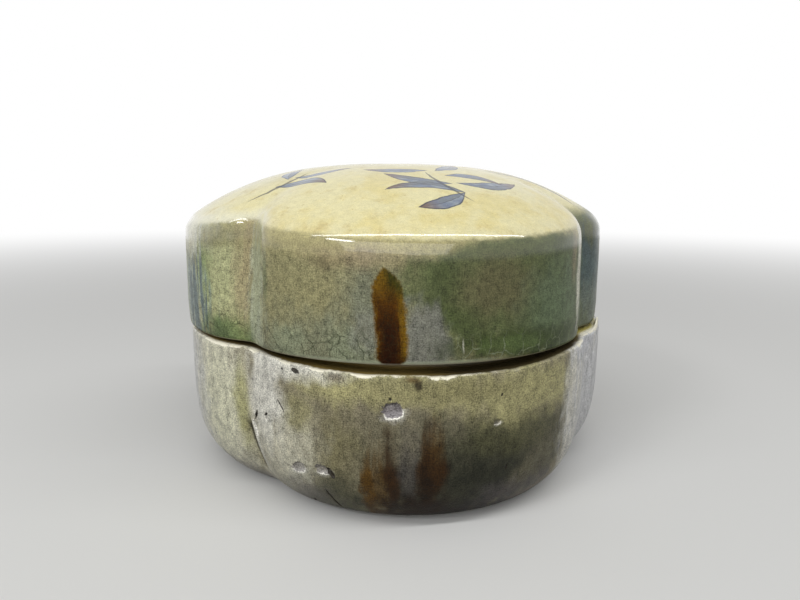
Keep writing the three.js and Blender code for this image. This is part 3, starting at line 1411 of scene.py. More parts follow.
STROKES = (
    Stroke(Brush.INK, 5.5, -34.0, 112.0, 15.0, 0.4, 1.6),
    Stroke(Brush.WASH, 4.4, -31.0, 172.0, 13.0, 1.3, -2.0),
    Stroke(Brush.WASH, 4.2, -30.6, 205.0, 9.5, 1.5, 1.2),
    Stroke(Brush.WASH, 3.2, -27.6, 150.0, 12.0, 1.5, 1.6),
    Stroke(Brush.WASH, 3.4, -27.0, 22.0, 13.0, 1.5, -2.0),
    Stroke(Brush.WASH, 2.4, -23.6, 352.0, 10.0, 1.4, 1.4),
    Stroke(Brush.WASH, 1.6, -20.6, 60.0, 11.0, 1.6, -1.2),
    Stroke(Brush.WASH, 0.8, -20.0, 166.0, 11.0, 1.5, 1.5),
    Stroke(Brush.INK, -30.0, -17.0, 28.0, 14.0, 0.4, -1.6),
    Stroke(Brush.WASH, -24.5, -15.0, 318.0, 11.0, 1.5, 1.6),
    Stroke(Brush.WASH, -21.0, -12.6, 352.0, 10.0, 1.4, -1.4),
    Stroke(Brush.WASH, -22.0, -13.0, 70.0, 9.0, 1.5, 1.0),
    Stroke(Brush.INK, 29.0, -18.0, 150.0, 12.0, 0.7, -1.6),
    Stroke(Brush.INK, 24.0, -11.0, 170.0, 11.0, 0.8, 1.2),
    Stroke(Brush.INK, -10.0, -8.0, 14.0, 9.0, 0.8, 1.0),
    Stroke(Brush.INK, -6.0, -2.0, 346.0, 12.0, 0.8, -1.2),
    Stroke(Brush.INK, 12.0, -4.0, 20.0, 10.0, 0.8, 1.2),
    Stroke(Brush.INK, 14.0, 24.0, 250.0, 18.0, 0.4, -2.0),
    Stroke(Brush.WASH, 11.5, 16.0, 195.0, 12.0, 1.5, 1.6),
    Stroke(Brush.WASH, 12.5, 19.0, 25.0, 11.0, 1.5, -1.6),
    Stroke(Brush.WASH, 9.5, 11.0, 320.0, 11.0, 1.4, 1.4),
    Stroke(Brush.WASH, 9.0, 10.5, 150.0, 9.5, 1.4, -1.2),
)


@dataclass(frozen=True)
class Painting:
    """Slender leaves on thin stems, brushed on the dome.

    Attributes:
        ink: The colour of stems and outlines.
        slate: The wash inside the leaves.
        pale: The wash where it is thin.
        sepia: The brown of the leaves' tips.
    """

    ink: Tint = tint(40, 44, 54)
    slate: Tint = tint(76, 96, 134)
    pale: Tint = tint(156, 168, 172)
    sepia: Tint = tint(112, 80, 52)

    def paint(self, graph: Graph, ground: Colour) -> Colour:
        """Paints all strokes.

        Args:
            graph: The material's graph.
            ground: The glaze below.

        Returns:
            The glaze with its painting.
        """
        waver = graph.noise(2.0, seed=4.0) * 0.3
        place = graph.pair(graph.x + waver, graph.y - waver)
        wash, line, tips, dark = 0.0, 0.0, 0.0, 0.0
        for stroke in STROKES:
            seen = graph.seen_from(place, (stroke.x, stroke.y), (stroke.length, 1.0), stroke.heading)
            along, across, _ = graph.split(seen)
            # A stroke is widest at its middle, where it also bows out most, and pointed at both ends.
            hump = (along * (1.0 - along) * 4.0).over(0.0)
            off = across - hump * stroke.bend
            inside = hump * stroke.width - abs(off)
            if stroke.brush is Brush.INK:
                line = (inside.rise(0.03, 0.14) * 0.85).over(line)
                continue
            leaf = inside.rise(0.02, 0.14)
            vein = (inside - hump * (stroke.width - 0.14)).rise(0.0, 0.1)
            wash = leaf.over(wash)
            line = (leaf * (inside + waver * 0.5).rise(0.4, 0.16)).over(line)
            line = (vein * 0.7 * leaf).over(line)
            tips = (leaf * along.rise(0.55, 0.95)).over(tips)
            dark = (leaf * off.rise(0.12, -0.12)).over(dark)
        dry = (graph.noise(0.7, seed=5.0) * 0.9 + 0.85).rise(0.1, 0.6)
        tone = (graph.noise(1.8, seed=6.0) * 1.4 + 0.45).rise(0.0, 1.0)
        inner = graph.plain(self.slate).toward(self.pale, tone * 0.6)
        colour = ground.toward(inner, wash * dry * 0.9)
        colour = colour.toward(self.ink, dark * tone * 0.55)
        colour = colour.toward(self.sepia, tips * 0.8)
        return colour.toward(self.ink, line * dry * 0.92)


@dataclass(frozen=True)
class Run:
    """A run that flowed down the lid's wall, thin and amber at its round top and thick and brown at its foot.

    Attributes:
        amber: The colour of its thin glaze.
        bottle: The colour of its right side near the top.
        brown: The colour where it is thicker.
        dark_brown: The colour of its core.
        middle: Its angle, in degrees from the front.
        half: Half its width in degrees.
        lean: How far its top leans to the left, in degrees.
        upper: The height from which it narrows to its top.
        length: How far its top is above that.
        lower: The height from which it narrows to its lower end.
        core: Half its core's width in degrees.
        green_above: The heights over which its right side turns green.
        brown_below: Those over which it turns brown.
        dark_below: Those over which its core turns dark.
        pool_below: Those over which it gathers at its lower end.
    """

    amber: Tint = tint(112, 84, 20)
    bottle: Tint = tint(50, 54, 16)
    brown: Tint = tint(76, 44, 4)
    dark_brown: Tint = tint(34, 12, 2)
    middle: float = -12.8
    half: float = 3.3
    lean: float = 1.5
    upper: float = 31.5
    length: float = 8.9
    lower: float = 27.5
    core: float = 2.8
    green_above: tuple[float, float] = (34.8, 38.0)
    brown_below: tuple[float, float] = (39.5, 34.5)
    dark_below: tuple[float, float] = (36.8, 31.0)
    pool_below: tuple[float, float] = (28.6, 27.0)

    def lay(self, graph: Graph, colour: Colour) -> tuple[Colour, Value]:
        """Lays the run over the wall's glaze.

        Args:
            graph: The material's graph.
            colour: The glaze below.

        Returns:
            The glaze with the run, and a value that is 1 on the run.
        """
        waver = graph.noise(1.7, detail=4.0, stretch=2.0, seed=6.0)
        streak = graph.noise(0.4, detail=4.0, stretch=9.0, seed=7.0)
        fuzz = graph.noise(0.35, stretch=1.5, seed=8.0)
        climb = ((graph.height - self.upper) / self.length).over(0.0)
        sink = (self.lower - graph.height).over(0.0)
        width = (1.0 - climb**5.0) * self.half - sink * sink * 0.9
        side = graph.angle - self.middle + waver * 0.7 + climb * self.lean
        wet = (width - abs(side) + fuzz * 0.5).rise(-0.4, 0.6)
        colour = colour.toward(self.amber, wet)
        shade = (side + streak * 1.5).rise(-0.9, 1.3) * graph.height.rise(*self.green_above)
        colour = colour.toward(self.bottle, shade * wet * 0.9)
        core = self.core - abs(side + 0.6) + streak * 1.1 + waver * 0.6 + fuzz * 0.5
        thick = core.rise(-0.5, 1.1) * wet * graph.height.rise(*self.brown_below)
        colour = colour.toward(self.brown, thick * 0.95)
        thickest = core.rise(0.0, 1.8) * wet * graph.height.rise(*self.dark_below)
        colour = colour.toward(self.dark_brown, thickest * 0.9)
        pooled = wet * graph.height.rise(*self.pool_below)
        return colour.toward(self.dark_brown, pooled * 0.6), wet


@dataclass(frozen=True)
class LidGlaze:
    """Clear crackled glaze: cream on the dome, olive and green on the wall, a run and brush painting."""

    name: str = "crackled lid glaze"
    shine: Shine = Shine(specular=0.05, coat_ior=1.55, coat_roughness=0.07, depth=0.5)
    cream: Tint = tint(218, 210, 162)
    straw: Tint = tint(212, 198, 132)
    ivory: Tint = tint(222, 221, 200)
    mist: Tint = tint(184, 184, 160)
    ochre: Tint = tint(176, 152, 92)
    sand: Tint = tint(169, 160, 110)
    olive: Tint = tint(146, 141, 102)
    rose: Tint = tint(164, 144, 112)
    grey_green: Tint = tint(120, 124, 102)
    willow: Tint = tint(176, 178, 134)
    leaf: Tint = tint(122, 142, 90)
    steel: Tint = tint(66, 86, 98)
    blue_grey: Tint = tint(184, 194, 176)
    celadon: Tint = tint(180, 187, 160)
    moss: Tint = tint(108, 128, 76)
    dark_moss: Tint = tint(74, 92, 58)
    mint: Tint = tint(134, 142, 114)
    slate_green: Tint = tint(112, 118, 102)
    lavender: Tint = tint(122, 122, 112)
    green: Tint = tint(88, 97, 60)
    umber_olive: Tint = tint(101, 94, 66)
    sea: Tint = tint(98, 114, 86)
    deep: Tint = tint(66, 78, 40)
    grass: Tint = tint(44, 55, 13)
    crack: Tint = tint(48, 54, 34)
    clay: Tint = tint(176, 166, 146)
    biscuit: Tint = tint(198, 188, 152)
    honey: Tint = tint(160, 148, 104)

    def washes(self) -> tuple[Wash, ...]:
        """Lists the clouds of colour round the wall.

        Returns:
            The clouds, the lowest first.
        """
        return (
            Wash(self.grey_green, -25.0, 26.0, 26.0, 7.0, 0.75),
            Wash(self.slate_green, -17.5, 36.0, 5.5, 5.0, 0.7, 0.8),
            Wash(self.willow, -61.5, 36.0, 7.0, 9.5, 0.9, 0.6),
            Wash(self.rose, -54.5, 38.0, 2.6, 8.0, 0.5, 0.7, streaks=0.7),
            Wash(self.leaf, -68.5, 37.0, 4.0, 7.5, 0.7, 0.6, streaks=0.5),
            Wash(self.blue_grey, -80.0, 33.0, 12.5, 7.0, 0.8, 0.5, streaks=0.5),
            Wash(self.steel, -74.0, 32.5, 6.0, 7.0, 0.75, 0.5, streaks=1.7),
            Wash(self.ivory, -82.0, 43.6, 16.0, 3.6, 0.8, 0.5, streaks=0.4),
            Wash(self.celadon, -48.5, 36.0, 3.6, 14.0, 0.7, 0.5, streaks=0.6),
            Wash(self.dark_moss, -43.3, 37.0, 0.9, 2.6, 0.5, 0.7),
            Wash(self.moss, -60.0, 26.6, 8.5, 3.6, 0.75, 0.45),
            Wash(self.dark_moss, -63.5, 26.5, 4.5, 3.2, 0.65, 0.6),
            Wash(self.rose, -20.0, 41.6, 9.0, 1.6, 0.5, 0.8),
            Wash(self.umber_olive, -27.2, 40.8, 1.6, 0.9, 0.55, 0.8),
            Wash(self.mint, -37.0, 28.6, 5.0, 2.4, 0.55),
            Wash(self.mint, -21.5, 28.6, 4.6, 3.0, 0.6),
            Wash(self.lavender, -17.5, 31.0, 3.4, 3.0, 0.6),
            Wash(self.green, 64.0, 33.5, 70.0, 10.0, 1.0, 0.13, ragged=0.2),
            Wash(self.green, 18.5, 39.8, 26.5, 5.0, 0.95, 0.2, ragged=0.25),
            Wash(self.green, 66.0, 38.0, 24.0, 12.0, 0.95, 0.2, ragged=0.2),
            Wash(self.green, -5.3, 37.4, 6.2, 4.0, 0.85, 0.45),
            Wash(self.umber_olive, 9.0, 37.0, 10.0, 4.2, 0.7, 0.7),
            Wash(self.deep, -3.0, 35.5, 3.4, 5.5, 0.6, 0.6, turn=-12.0),
            Wash(self.deep, 1.0, 32.0, 4.5, 3.0, 0.6, 0.7),
            Wash(self.sea, 27.0, 33.5, 10.0, 6.5, 0.7, 0.6),
            Wash(self.deep, 29.0, 43.2, 5.0, 1.5, 0.5, 0.6),
            Wash(self.lavender, -6.2, 29.5, 4.8, 6.4, 0.9, 0.3, turn=14.0),
            Wash(self.grass, 17.0, 28.4, 19.0, 2.1, 0.8, 0.5),
            Wash(self.moss, 14.0, 28.6, 9.0, 1.2, 0.4, 0.7),
            Wash(self.ivory, 1.8, 29.0, 0.22, 0.9, 0.6, 0.5),
            Wash(self.rose, 35.0, 40.5, 1.5, 3.6, 0.4, 0.7),
            Wash(self.ivory, 39.0, 40.0, 1.7, 9.0, 0.85, 0.35),
            Wash(self.umber_olive, 62.0, 42.0, 9.0, 4.0, 0.4, 0.7),
            Wash(self.steel, 60.5, 36.0, 9.5, 7.5, 0.7, 0.6, streaks=0.5),
            Wash(self.umber_olive, -62.0, 43.4, 7.0, 1.9, 0.5, 0.8),
            Wash(self.slate_green, 62.0, 29.0, 12.0, 5.0, 0.6, 0.7, streaks=0.5),
            Wash(self.celadon, 84.0, 36.0, 14.0, 9.0, 0.6, 0.6, streaks=0.8),
            Wash(self.sea, 134.0, 31.0, 18.0, 10.0, 0.8, 0.6, streaks=0.5),
            Wash(self.willow, 168.0, 35.0, 12.0, 9.0, 0.7, 0.6),
            Wash(self.green, -162.0, 32.0, 20.0, 10.0, 0.8, 0.5, streaks=0.4),
            Wash(self.grey_green, -126.0, 30.0, 18.0, 9.0, 0.7, 0.6, streaks=0.5),
        )

    def crown(self, graph: Graph) -> Colour:
        """Mixes the cream of the dome and paints on it.

        Args:
            graph: The material's graph.

        Returns:
            The dome's colour.
        """
        clouds = graph.noise(8.0, detail=5.0, seed=8.0)
        stains = graph.noise(2.6, detail=5.0, seed=15.0)
        specks = graph.noise(0.5, seed=19.0)
        warm = (clouds * 2.0 + stains * 0.8 + 0.35).rise(0.0, 1.0)
        cream = graph.plain(self.cream).toward(self.straw, warm * 0.75)
        far = (graph.y * 0.022 + 0.5 + clouds * 0.5).rise(0.0, 1.0)
        cream = cream.toward(self.mist, far * 0.8)
        edge = (graph.height + stains).rise(48.6, 45.6) * graph.angle.within(-130.0, -44.0, 7.0)
        cream = cream.toward(self.ivory, edge * 0.7)
        cream = cream.toward(self.ochre, (stains + specks * 0.3).rise(0.12, 0.6) * 0.42)
        cream = cream.toward(self.ochre, (specks + stains * 0.4).rise(0.34, 0.5) * 0.4)
        return Painting().paint(graph, cream)

    def crackle(
        self, graph: Graph, washes: Washes, colour: Colour, dome: Value, wall: Value
    ) -> tuple[Colour, Value]:
        """Draws a wide net of cracks and a fine one, which are clearest at the wall's left foot.

        Args:
            graph: The material's graph.
            washes: The wall's clouds.
            colour: The glaze below.
            dome: 1 on the dome.
            wall: 1 on the wall.

        Returns:
            The crackled glaze, and a value that is 1 on a strong crack.
        """
        net, cell = graph.cracks(size=2.9, width=0.11)
        fine_net, _ = graph.cracks(size=1.1, width=0.06, seed=3.0)
        net = net * washes.patch.rise(-0.35, 0.25)
        foot = washes.height.rise(33.5, 28.5) * graph.angle.within(-160.0, -15.0, 3.0)
        wide = net * (foot * 0.7 + 0.12)
        cracks = wide.over(fine_net * (foot * 0.12 + 0.2)) * (1.0 - dome * 0.85)
        colour = colour.times(1.0 + (cell - 0.5) * (foot * 0.22 + 0.03) * wall)
        colour = colour.toward(self.crack, cracks)
        pale_foot = washes.height.rise(31.5, 28.0) * graph.angle.within(-5.0, 33.0, 2.0)
        return colour.toward(self.mint, net * pale_foot * 0.65), cracks

    def build(self) -> bpy.types.Material:
        """Makes the material.

        Returns:
            The material.
        """
        graph = Graph(self.name)
        washes = Washes(graph, warp=0.9)
        upper = washes.height.rise(40.8, 43.2)
        ground = graph.plain(self.olive).toward(self.sand, upper * 0.95)
        colour = washes.lay(ground, self.washes())
        colour, wet = Run().lay(graph, colour)
        dome = (graph.attribute("dome") + graph.noise(1.2, detail=4.0, seed=9.0) * 0.07).rise(0.6, 0.78)
        climbing_green = graph.angle.within(47.0, 84.0, 4.0) * washes.height.rise(49.0, 46.4)
        dome = dome * (1.0 - climbing_green)
        colour = colour.toward(self.crown(graph), dome)
        wall = 1.0 - dome
        colour, cracks = self.crackle(graph, washes, colour, dome, wall)
        grain = Grain(graph, size=1.1, stretch=1.0)
        texture = grain.fine * 0.9 + grain.thread * 0.4 + washes.streak * 0.14 + grain.mottle * 0.6
        colour = colour.times(1.0 + texture * (wall * (0.78 - upper * 0.4) + 0.22))
        brim = graph.height.within(25.6, 26.8, 0.25) * graph.angle.within(-34.0, 8.0, 8.0)
        colour = colour.toward(self.celadon, brim * (1.0 - wet) * 0.55)
        pits = graph.noise(0.6, detail=2.0, seed=13.0).rise(0.46, 0.66)
        colour = colour.toward(self.crack, pits * (0.6 - dome * 0.4))
        inner = graph.attribute("inner").rise(0.4, 0.7)
        pooled = (grain.mottle + washes.patch).rise(-0.3, 0.6)
        colour = colour.toward(graph.plain(self.biscuit).toward(self.honey, pooled * 0.8), inner)
        bare = graph.attribute("bare")
        colour = colour.toward(self.clay, bare.rise(0.3, 0.7) * 0.85)
        roughness = 0.42 + grain.fine * 0.1 + bare * 0.4 + inner * 0.1
        shoulder = graph.attribute("dome").within(0.1, 0.95, 0.1)
        coat = (0.28 + shoulder * 0.72 + dome * 0.26 - wet * 0.24 - bare).over(0.0)
        relief = graph.noise(2.4, detail=2.0, seed=14.0) * 0.08 + grain.fine * 0.02
        relief = relief - cracks * 0.03 - pits * 0.05
        return graph.finish(colour, roughness, coat, relief, self.shine)


@dataclass(frozen=True)
class BaseGlaze:
    """Thin satin ash glaze: grey-beige with an olive band, rust-brown runs, pits and chips to the clay."""

    name: str = "worn base glaze"
    shine: Shine = Shine(specular=0.1, coat_ior=1.5, coat_roughness=0.3, depth=0.6)
    beige: Tint = tint(134, 127, 103)
    pale: Tint = tint(200, 197, 177)
    bright: Tint = tint(212, 210, 199)
    lilac: Tint = tint(196, 197, 201)
    willow: Tint = tint(200, 199, 172)
    moss: Tint = tint(158, 155, 104)
    olive: Tint = tint(155, 150, 108)
    dark_olive: Tint = tint(118, 112, 76)
    sallow: Tint = tint(142, 137, 100)
    moor: Tint = tint(88, 87, 60)
    straw: Tint = tint(174, 168, 120)
    taupe: Tint = tint(101, 97, 78)
    grey_brown: Tint = tint(76, 75, 58)
    dark_glaze_and_shade: Tint = tint(42, 43, 34)
    heather: Tint = tint(92, 86, 86)
    rust: Tint = tint(78, 54, 14)
    red_brown: Tint = tint(44, 25, 7)
    umber: Tint = tint(31, 20, 9)
    soot_and_shade: Tint = tint(26, 24, 20)
    cream: Tint = tint(246, 241, 220)
    white: Tint = tint(242, 239, 228)
    grey: Tint = tint(128, 123, 128)
    pit_and_shade_dark: Tint = tint(42, 37, 30)
    ledge: Tint = tint(108, 92, 50)
    yellow: Tint = tint(168, 158, 88)
    bowl_glaze: Tint = tint(172, 162, 122)
    pooled: Tint = tint(120, 112, 74)
    clay: Tint = tint(178, 160, 130)

    def washes(self) -> tuple[Wash, ...]:
        """Lists the clouds of colour round the wall.

        Returns:
            The clouds, the lowest first.
        """
        return (
            Wash(self.taupe, -2.0, 12.0, 30.0, 8.5, 0.8),
            Wash(self.dark_olive, -26.0, 12.0, 6.5, 6.0, 0.55, 0.8),
            Wash(self.grey_brown, -28.0, 3.6, 15.0, 4.6, 0.85, 0.7),
            Wash(self.grey_brown, 15.0, 12.0, 21.0, 7.0, 0.85),
            # Darker low on the front: partly a darker glaze, and partly painted shade under the belly.
            Wash(self.dark_glaze_and_shade, 3.0, 6.5, 19.0, 6.5, 0.9),
            Wash(self.dark_glaze_and_shade, 6.0, 12.0, 9.0, 3.5, 0.6, 0.7),
            Wash(self.moor, 13.0, 15.0, 10.0, 2.8, 0.6, 0.7),
            Wash(self.taupe, 21.0, 9.0, 7.0, 2.2, 0.8, 0.7, turn=24.0),
            Wash(self.heather, 20.0, 3.6, 14.0, 3.0, 0.5),
            Wash(self.olive, -16.0, 23.4, 20.0, 3.2, 0.9, 0.4),
            Wash(self.olive, 17.0, 21.2, 18.0, 4.0, 0.9, 0.45),
            Wash(self.straw, 24.0, 21.6, 9.0, 2.4, 0.45, 0.7),
            Wash(self.straw, -25.0, 22.0, 9.0, 1.6, 0.5, 0.8),
            Wash(self.dark_olive, -2.0, 22.6, 14.0, 1.6, 0.45, 0.8),
            Wash(self.bright, -37.0, 24.6, 11.0, 2.0, 0.85, 0.6),
            Wash(self.pale, -36.5, 12.0, 7.0, 6.5, 0.65, 0.7),
            Wash(self.sallow, -34.8, 18.0, 4.0, 3.0, 0.9, 0.5),
            Wash(self.pale, -92.0, 14.0, 42.0, 22.0, 0.95, 0.2, ragged=0.2),
            Wash(self.willow, -64.0, 15.0, 9.0, 9.0, 0.75, 0.6),
            Wash(self.moss, -54.8, 15.5, 2.4, 6.5, 0.8, 0.6),
            Wash(self.lilac, -86.0, 15.0, 13.0, 13.0, 0.7, 0.6, streaks=0.3),
            Wash(self.heather, -62.0, 2.2, 12.0, 2.2, 0.5),
            Wash(self.bright, -45.0, 20.0, 6.0, 10.0, 0.9, 0.5),
            Wash(self.pale, -42.5, 7.5, 8.0, 5.5, 0.5, 0.6),
            Wash(self.heather, -34.0, 4.0, 6.0, 2.2, 0.5, 0.7),
            Wash(self.bright, 56.2, 14.0, 25.0, 26.0, 0.92, 0.14, streaks=0.04, ragged=0.2),
            Wash(self.lilac, 66.0, 14.0, 24.0, 18.0, 0.75, 0.5, streaks=0.4),
            Wash(self.lilac, 47.0, 24.4, 9.5, 2.2, 0.8, 0.4),
            # Darker at the foot: partly dirt, and partly a painted shadow where the belly meets the table.
            Wash(self.soot_and_shade, -3.0, 1.5, 13.0, 2.8, 0.85),
            Wash(self.soot_and_shade, -4.0, 0.6, 42.0, 1.6, 0.7, 0.5, ragged=0.3),
            Wash(self.willow, 124.0, 17.0, 24.0, 9.0, 0.7, 0.7),
            Wash(self.taupe, 148.0, 5.0, 32.0, 8.0, 0.7, 0.7),
            Wash(self.olive, 166.0, 21.0, 15.0, 5.0, 0.7, 0.6),
            Wash(self.taupe, -160.0, 5.0, 22.0, 9.0, 0.8, 0.7),
            Wash(self.olive, -164.0, 21.0, 15.0, 5.0, 0.7, 0.6),
            Wash(self.dark_olive, -118.0, 16.0, 10.0, 6.0, 0.6, 0.7, streaks=0.4),
        )

    def runs(self) -> tuple[Wash, ...]:
        """Lists the rust-brown runs.

        Returns:
            The runs, the lowest first.
        """
        return (
            Wash(self.grey_brown, -23.5, 4.6, 5.0, 4.6, 0.6, 0.8),
            Wash(self.heather, -9.0, 11.0, 2.6, 5.5, 0.36, 0.6),
            Wash(self.rust, -15.4, 7.0, 2.8, 6.4, 0.7, 0.6, streaks=0.5),
            Wash(self.rust, -17.6, 7.0, 1.5, 4.8, 0.85, 0.5, streaks=0.4),
            Wash(self.red_brown, -12.8, 8.8, 1.4, 6.8, 0.85, 0.6, streaks=0.3),
            Wash(self.rust, -4.4, 11.2, 2.2, 5.4, 0.75, 0.6, streaks=0.3),
            Wash(self.red_brown, -3.6, 9.4, 2.9, 3.4, 0.8, 0.6, streaks=0.3),
            Wash(self.red_brown, -5.2, 12.8, 1.1, 5.4, 0.55, 0.7, streaks=0.3),
            Wash(self.umber, -5.2, 6.4, 1.6, 4.6, 0.85, 0.6, streaks=0.3),
            Wash(self.umber, -7.5, 3.4, 8.5, 2.5, 0.9, 0.6),
            Wash(self.rust, -8.7, 24.2, 1.3, 0.55, 0.75, 0.7),
            Wash(self.umber, -7.6, 23.4, 0.9, 0.6, 0.85, 0.6),
            Wash(self.rust, -24.6, 24.0, 1.4, 0.5, 0.5, 0.8),
            Wash(self.red_brown, 160.0, 10.0, 2.4, 7.0, 0.7, 0.6, streaks=0.5),
        )

    def fold(self, colour: Colour, across: Value, along: Value) -> Colour:
        """Colours the fold with painted light: a wide painted shadow, a dark line behind it that is partly
        dirt and partly painted shade, and a painted highlight on its edge.

        Args:
            colour: The glaze below.
            across: How far the surface is in front of the fold, in millimetres.
            along: Its place along the fold, whose ends are at -1 and 1.

        Returns:
            The glaze with the fold.
        """
        ends = abs(along).rise(1.0, 0.55)
        # Painted light: shade beside the fold, a dark line that is partly dirt and partly shade, and a
        # highlight on its lit edge.
        shade = across.rise(-4.2, -0.6) * across.rise(0.25, 0.0)
        colour = colour.toward(self.dark_olive, shade * ends * 0.6)
        colour = colour.toward(self.pit_and_shade_dark, across.within(-1.5, 0.0, 0.25) * ends * 0.85)
        return colour.toward(self.bright, across.within(0.35, 1.2, 0.3) * ends * 0.6)

    def chip(self, colour: Colour, mark: Mark, below: Value, distance: Value, inside: Value) -> Colour:
        """Colours a chip: grey clay with a pale patch on its lower side, painted shade under its upper edge
        and a painted highlight in white on its lower lip.

        Args:
            colour: The glaze below.
            mark: The chip.
            below: How far the surface is below its middle.
            distance: How far it is from the middle, with the edge at 1.
            inside: 1 inside the chip.

        Returns:
            The glaze with the chip.
        """
        lip = below.rise(0.0, mark.across * 0.5) * distance.within(0.92, 1.14, 0.07)
        colour = colour.toward(self.bright, below.rise(0.0, 0.6) * distance.rise(1.9, 1.0) * 0.45)
        colour = colour.toward(self.grey, inside * min(0.85, mark.across * 0.65))
        # Painted shade under the upper edge, and a painted highlight in white on the lower lip.
        shade = inside * below.rise(-0.2, -0.6) * distance.rise(0.75, 0.95)
        colour = colour.toward(self.pit_and_shade_dark, shade * 0.6)
        return colour.toward(self.white, lip * min(0.95, mark.across * 1.1))

    def marks(self, graph: Graph, colour: Colour) -> Colour:
        """Colours the chips, gouges, scratches and spots, and the fold, with painted shade and highlights at
        the chips and the fold.

        Args:
            graph: The material's graph.
            colour: The glaze below.

        Returns:
            The glaze with all marks.
        """
        ragged = graph.noise(0.8, seed=7.0)
        degrees = math.degrees(1.0 / WALL_RADIUS)
        place = graph.pair(graph.angle / degrees, graph.height)
        for mark in MARKS:
            middle = (mark.angle / degrees, mark.height)
            seen = graph.seen_from(place, middle, (mark.across, mark.along), -mark.lean)
            if mark.wear is Wear.FOLD:
                across, along, _ = graph.split(seen)
                colour = self.fold(colour, across * mark.across, along)
                continue
            distance = graph.length(seen) + ragged * 0.55
            inside = distance.rise(1.06, 0.94)
            if mark.wear is Wear.CHIP:
                # The light comes from the upper left, so the lit lip is at the lower right.
                below = (graph.angle - mark.angle) * 0.22 - graph.height + mark.height + ragged * 0.2
                colour = self.chip(colour, mark, below, distance, inside)
            elif mark.wear is Wear.SPALL:
                colour = colour.toward(self.white, inside * 0.92)
            else:
                colour = colour.toward(self.pit_and_shade_dark, inside * 0.95)
        return colour

    def rim(self, graph: Graph, colour: Colour) -> Colour:
        """Lays the worn cream line along the rim, which reaches further down at each flake.

        Args:
            graph: The material's graph.
            colour: The glaze below.

        Returns:
            The glaze with the line.
        """
        below = graph.attribute("below_rim")
        crumbs = graph.noise(1.3, detail=5.0, seed=18.0)
        dust = graph.noise(0.3, seed=20.0)
        reach = 0.08 + crumbs * 0.45 + dust * 0.25
        for flake in FLAKES:
            spread = abs(graph.angle - flake.angle).rise(flake.half * 1.5, flake.half * 0.2)
            reach = reach + spread * (flake.drop * 0.55)
        dirty = graph.angle.within(9.0, 37.0, 3.0)
        line = (reach - below).rise(-0.16, 0.14) * (1.0 - dirty * 0.85)
        return colour.toward(self.cream, line * (crumbs + dust + 0.8).rise(0.1, 0.6) * 0.95)

    def inside(self, graph: Graph, colour: Colour) -> Colour:
        """Glazes the ledge, the collar and the bowl, with painted shade on the ledge where the lid's gap
        shades it.

        Args:
            graph: The material's graph.
            colour: The outside's glaze.

        Returns:
            The glaze of both sides.
        """
        inner = graph.attribute("inner")
        ledge = graph.plain(self.ledge).toward(self.yellow, graph.angle.within(49.0, 100.0, 3.0))
        # Painted shade on the ledge at the front, where it lies in the shadow of the lid's gap.
        ledge = ledge.toward(self.soot_and_shade, graph.angle.within(-4.0, 45.0, 8.0) * 0.8)
        ledge = ledge.toward(self.soot_and_shade, graph.angle.within(-62.0, -38.0, 9.0) * 0.6)
        pools = (graph.noise(6.0, detail=4.0) + 0.4).rise(0.0, 1.0)
        bowl = graph.plain(self.bowl_glaze).toward(self.pooled, pools)
        bowl = bowl.toward(self.ledge, graph.height.rise(23.5, 26.0) * 0.6)
        inside = bowl.toward(ledge, graph.height.within(24.2, 27.6, 0.4))
        return colour.toward(inside, inner.rise(0.4, 0.75))

    def build(self) -> bpy.types.Material:
        """Makes the material.

        Returns:
            The material.
        """
        graph = Graph(self.name)
        washes = Washes(graph, warp=1.1)
        colour = washes.lay(graph.plain(self.beige), self.washes())
        colour = washes.lay(colour, self.runs())
        grain = Grain(graph, size=1.3, stretch=1.2)
        pits = graph.noise(0.55, detail=1.0, seed=13.0).rise(0.5, 0.66)
        colour = colour.toward(self.pit_and_shade_dark, pits * 0.5)
        colour = self.marks(graph, colour)
        texture = 1.0 + grain.fine * 1.1 + grain.thread * 0.4 + washes.streak * 0.2 + grain.mottle * 0.65
        colour = self.rim(graph, colour.times(texture))
        colour = self.inside(graph, colour)
        bare = graph.attribute("bare")
        colour = colour.toward(self.clay, bare.rise(0.3, 0.7) * (0.85 + grain.fine * 0.3).under(1.0))
        roughness = 0.42 + grain.fine * 0.12 + grain.mottle * 0.1 + bare * 0.35
        relief = graph.noise(2.4, seed=14.0) * 0.12 + grain.fine * 0.06 + grain.mottle * 0.05 - pits * 0.14
        dull = washes.height.rise(21.0, 12.0) * graph.angle.within(-24.0, 36.0, 6.0)
        coat = (0.25 - dull * 0.19 - bare).over(0.0)
        return graph.finish(colour, roughness, coat, relief, self.shine)


@dataclass(frozen=True)
class Camera:
    """The photograph's viewpoint, in the box's own frame.

    Attributes:
        place: The camera's place in millimetres.
        turn: Its heading from straight on to the front, in degrees, positive towards the right.
        pitch: How far it looks down, in degrees.
        roll: Its roll in degrees.
        focal_px: Its focal length in pixels of an 800 pixel wide frame.
    """

    place: tuple[float, float, float] = (-25.8, -127.5, 51.5)
    turn: float = 11.53
    pitch: float = 10.0
    roll: float = 0.31
    focal_px: float = 650.0

    def build(self) -> None:
        """Adds the camera and makes it the scene's own."""
        data = bpy.data.cameras.new("camera")
        data.sensor_width = 36.0
        data.lens = self.focal_px * data.sensor_width / IMAGE_WIDTH
        data.clip_start = 0.01
        camera = bpy.data.objects.new("camera", data)
        bpy.context.scene.collection.objects.link(camera)
        heading = Matrix.Rotation(math.radians(-self.turn), 4, "Z")
        tilt = Matrix.Rotation(math.radians(90.0 - self.pitch), 4, "X")
        spin = Matrix.Rotation(math.radians(self.roll), 4, "Z")
        camera.matrix_world = Matrix.Translation(Vector(self.place) * MILLIMETRE) @ heading @ tilt @ spin
        bpy.context.scene.camera = camera


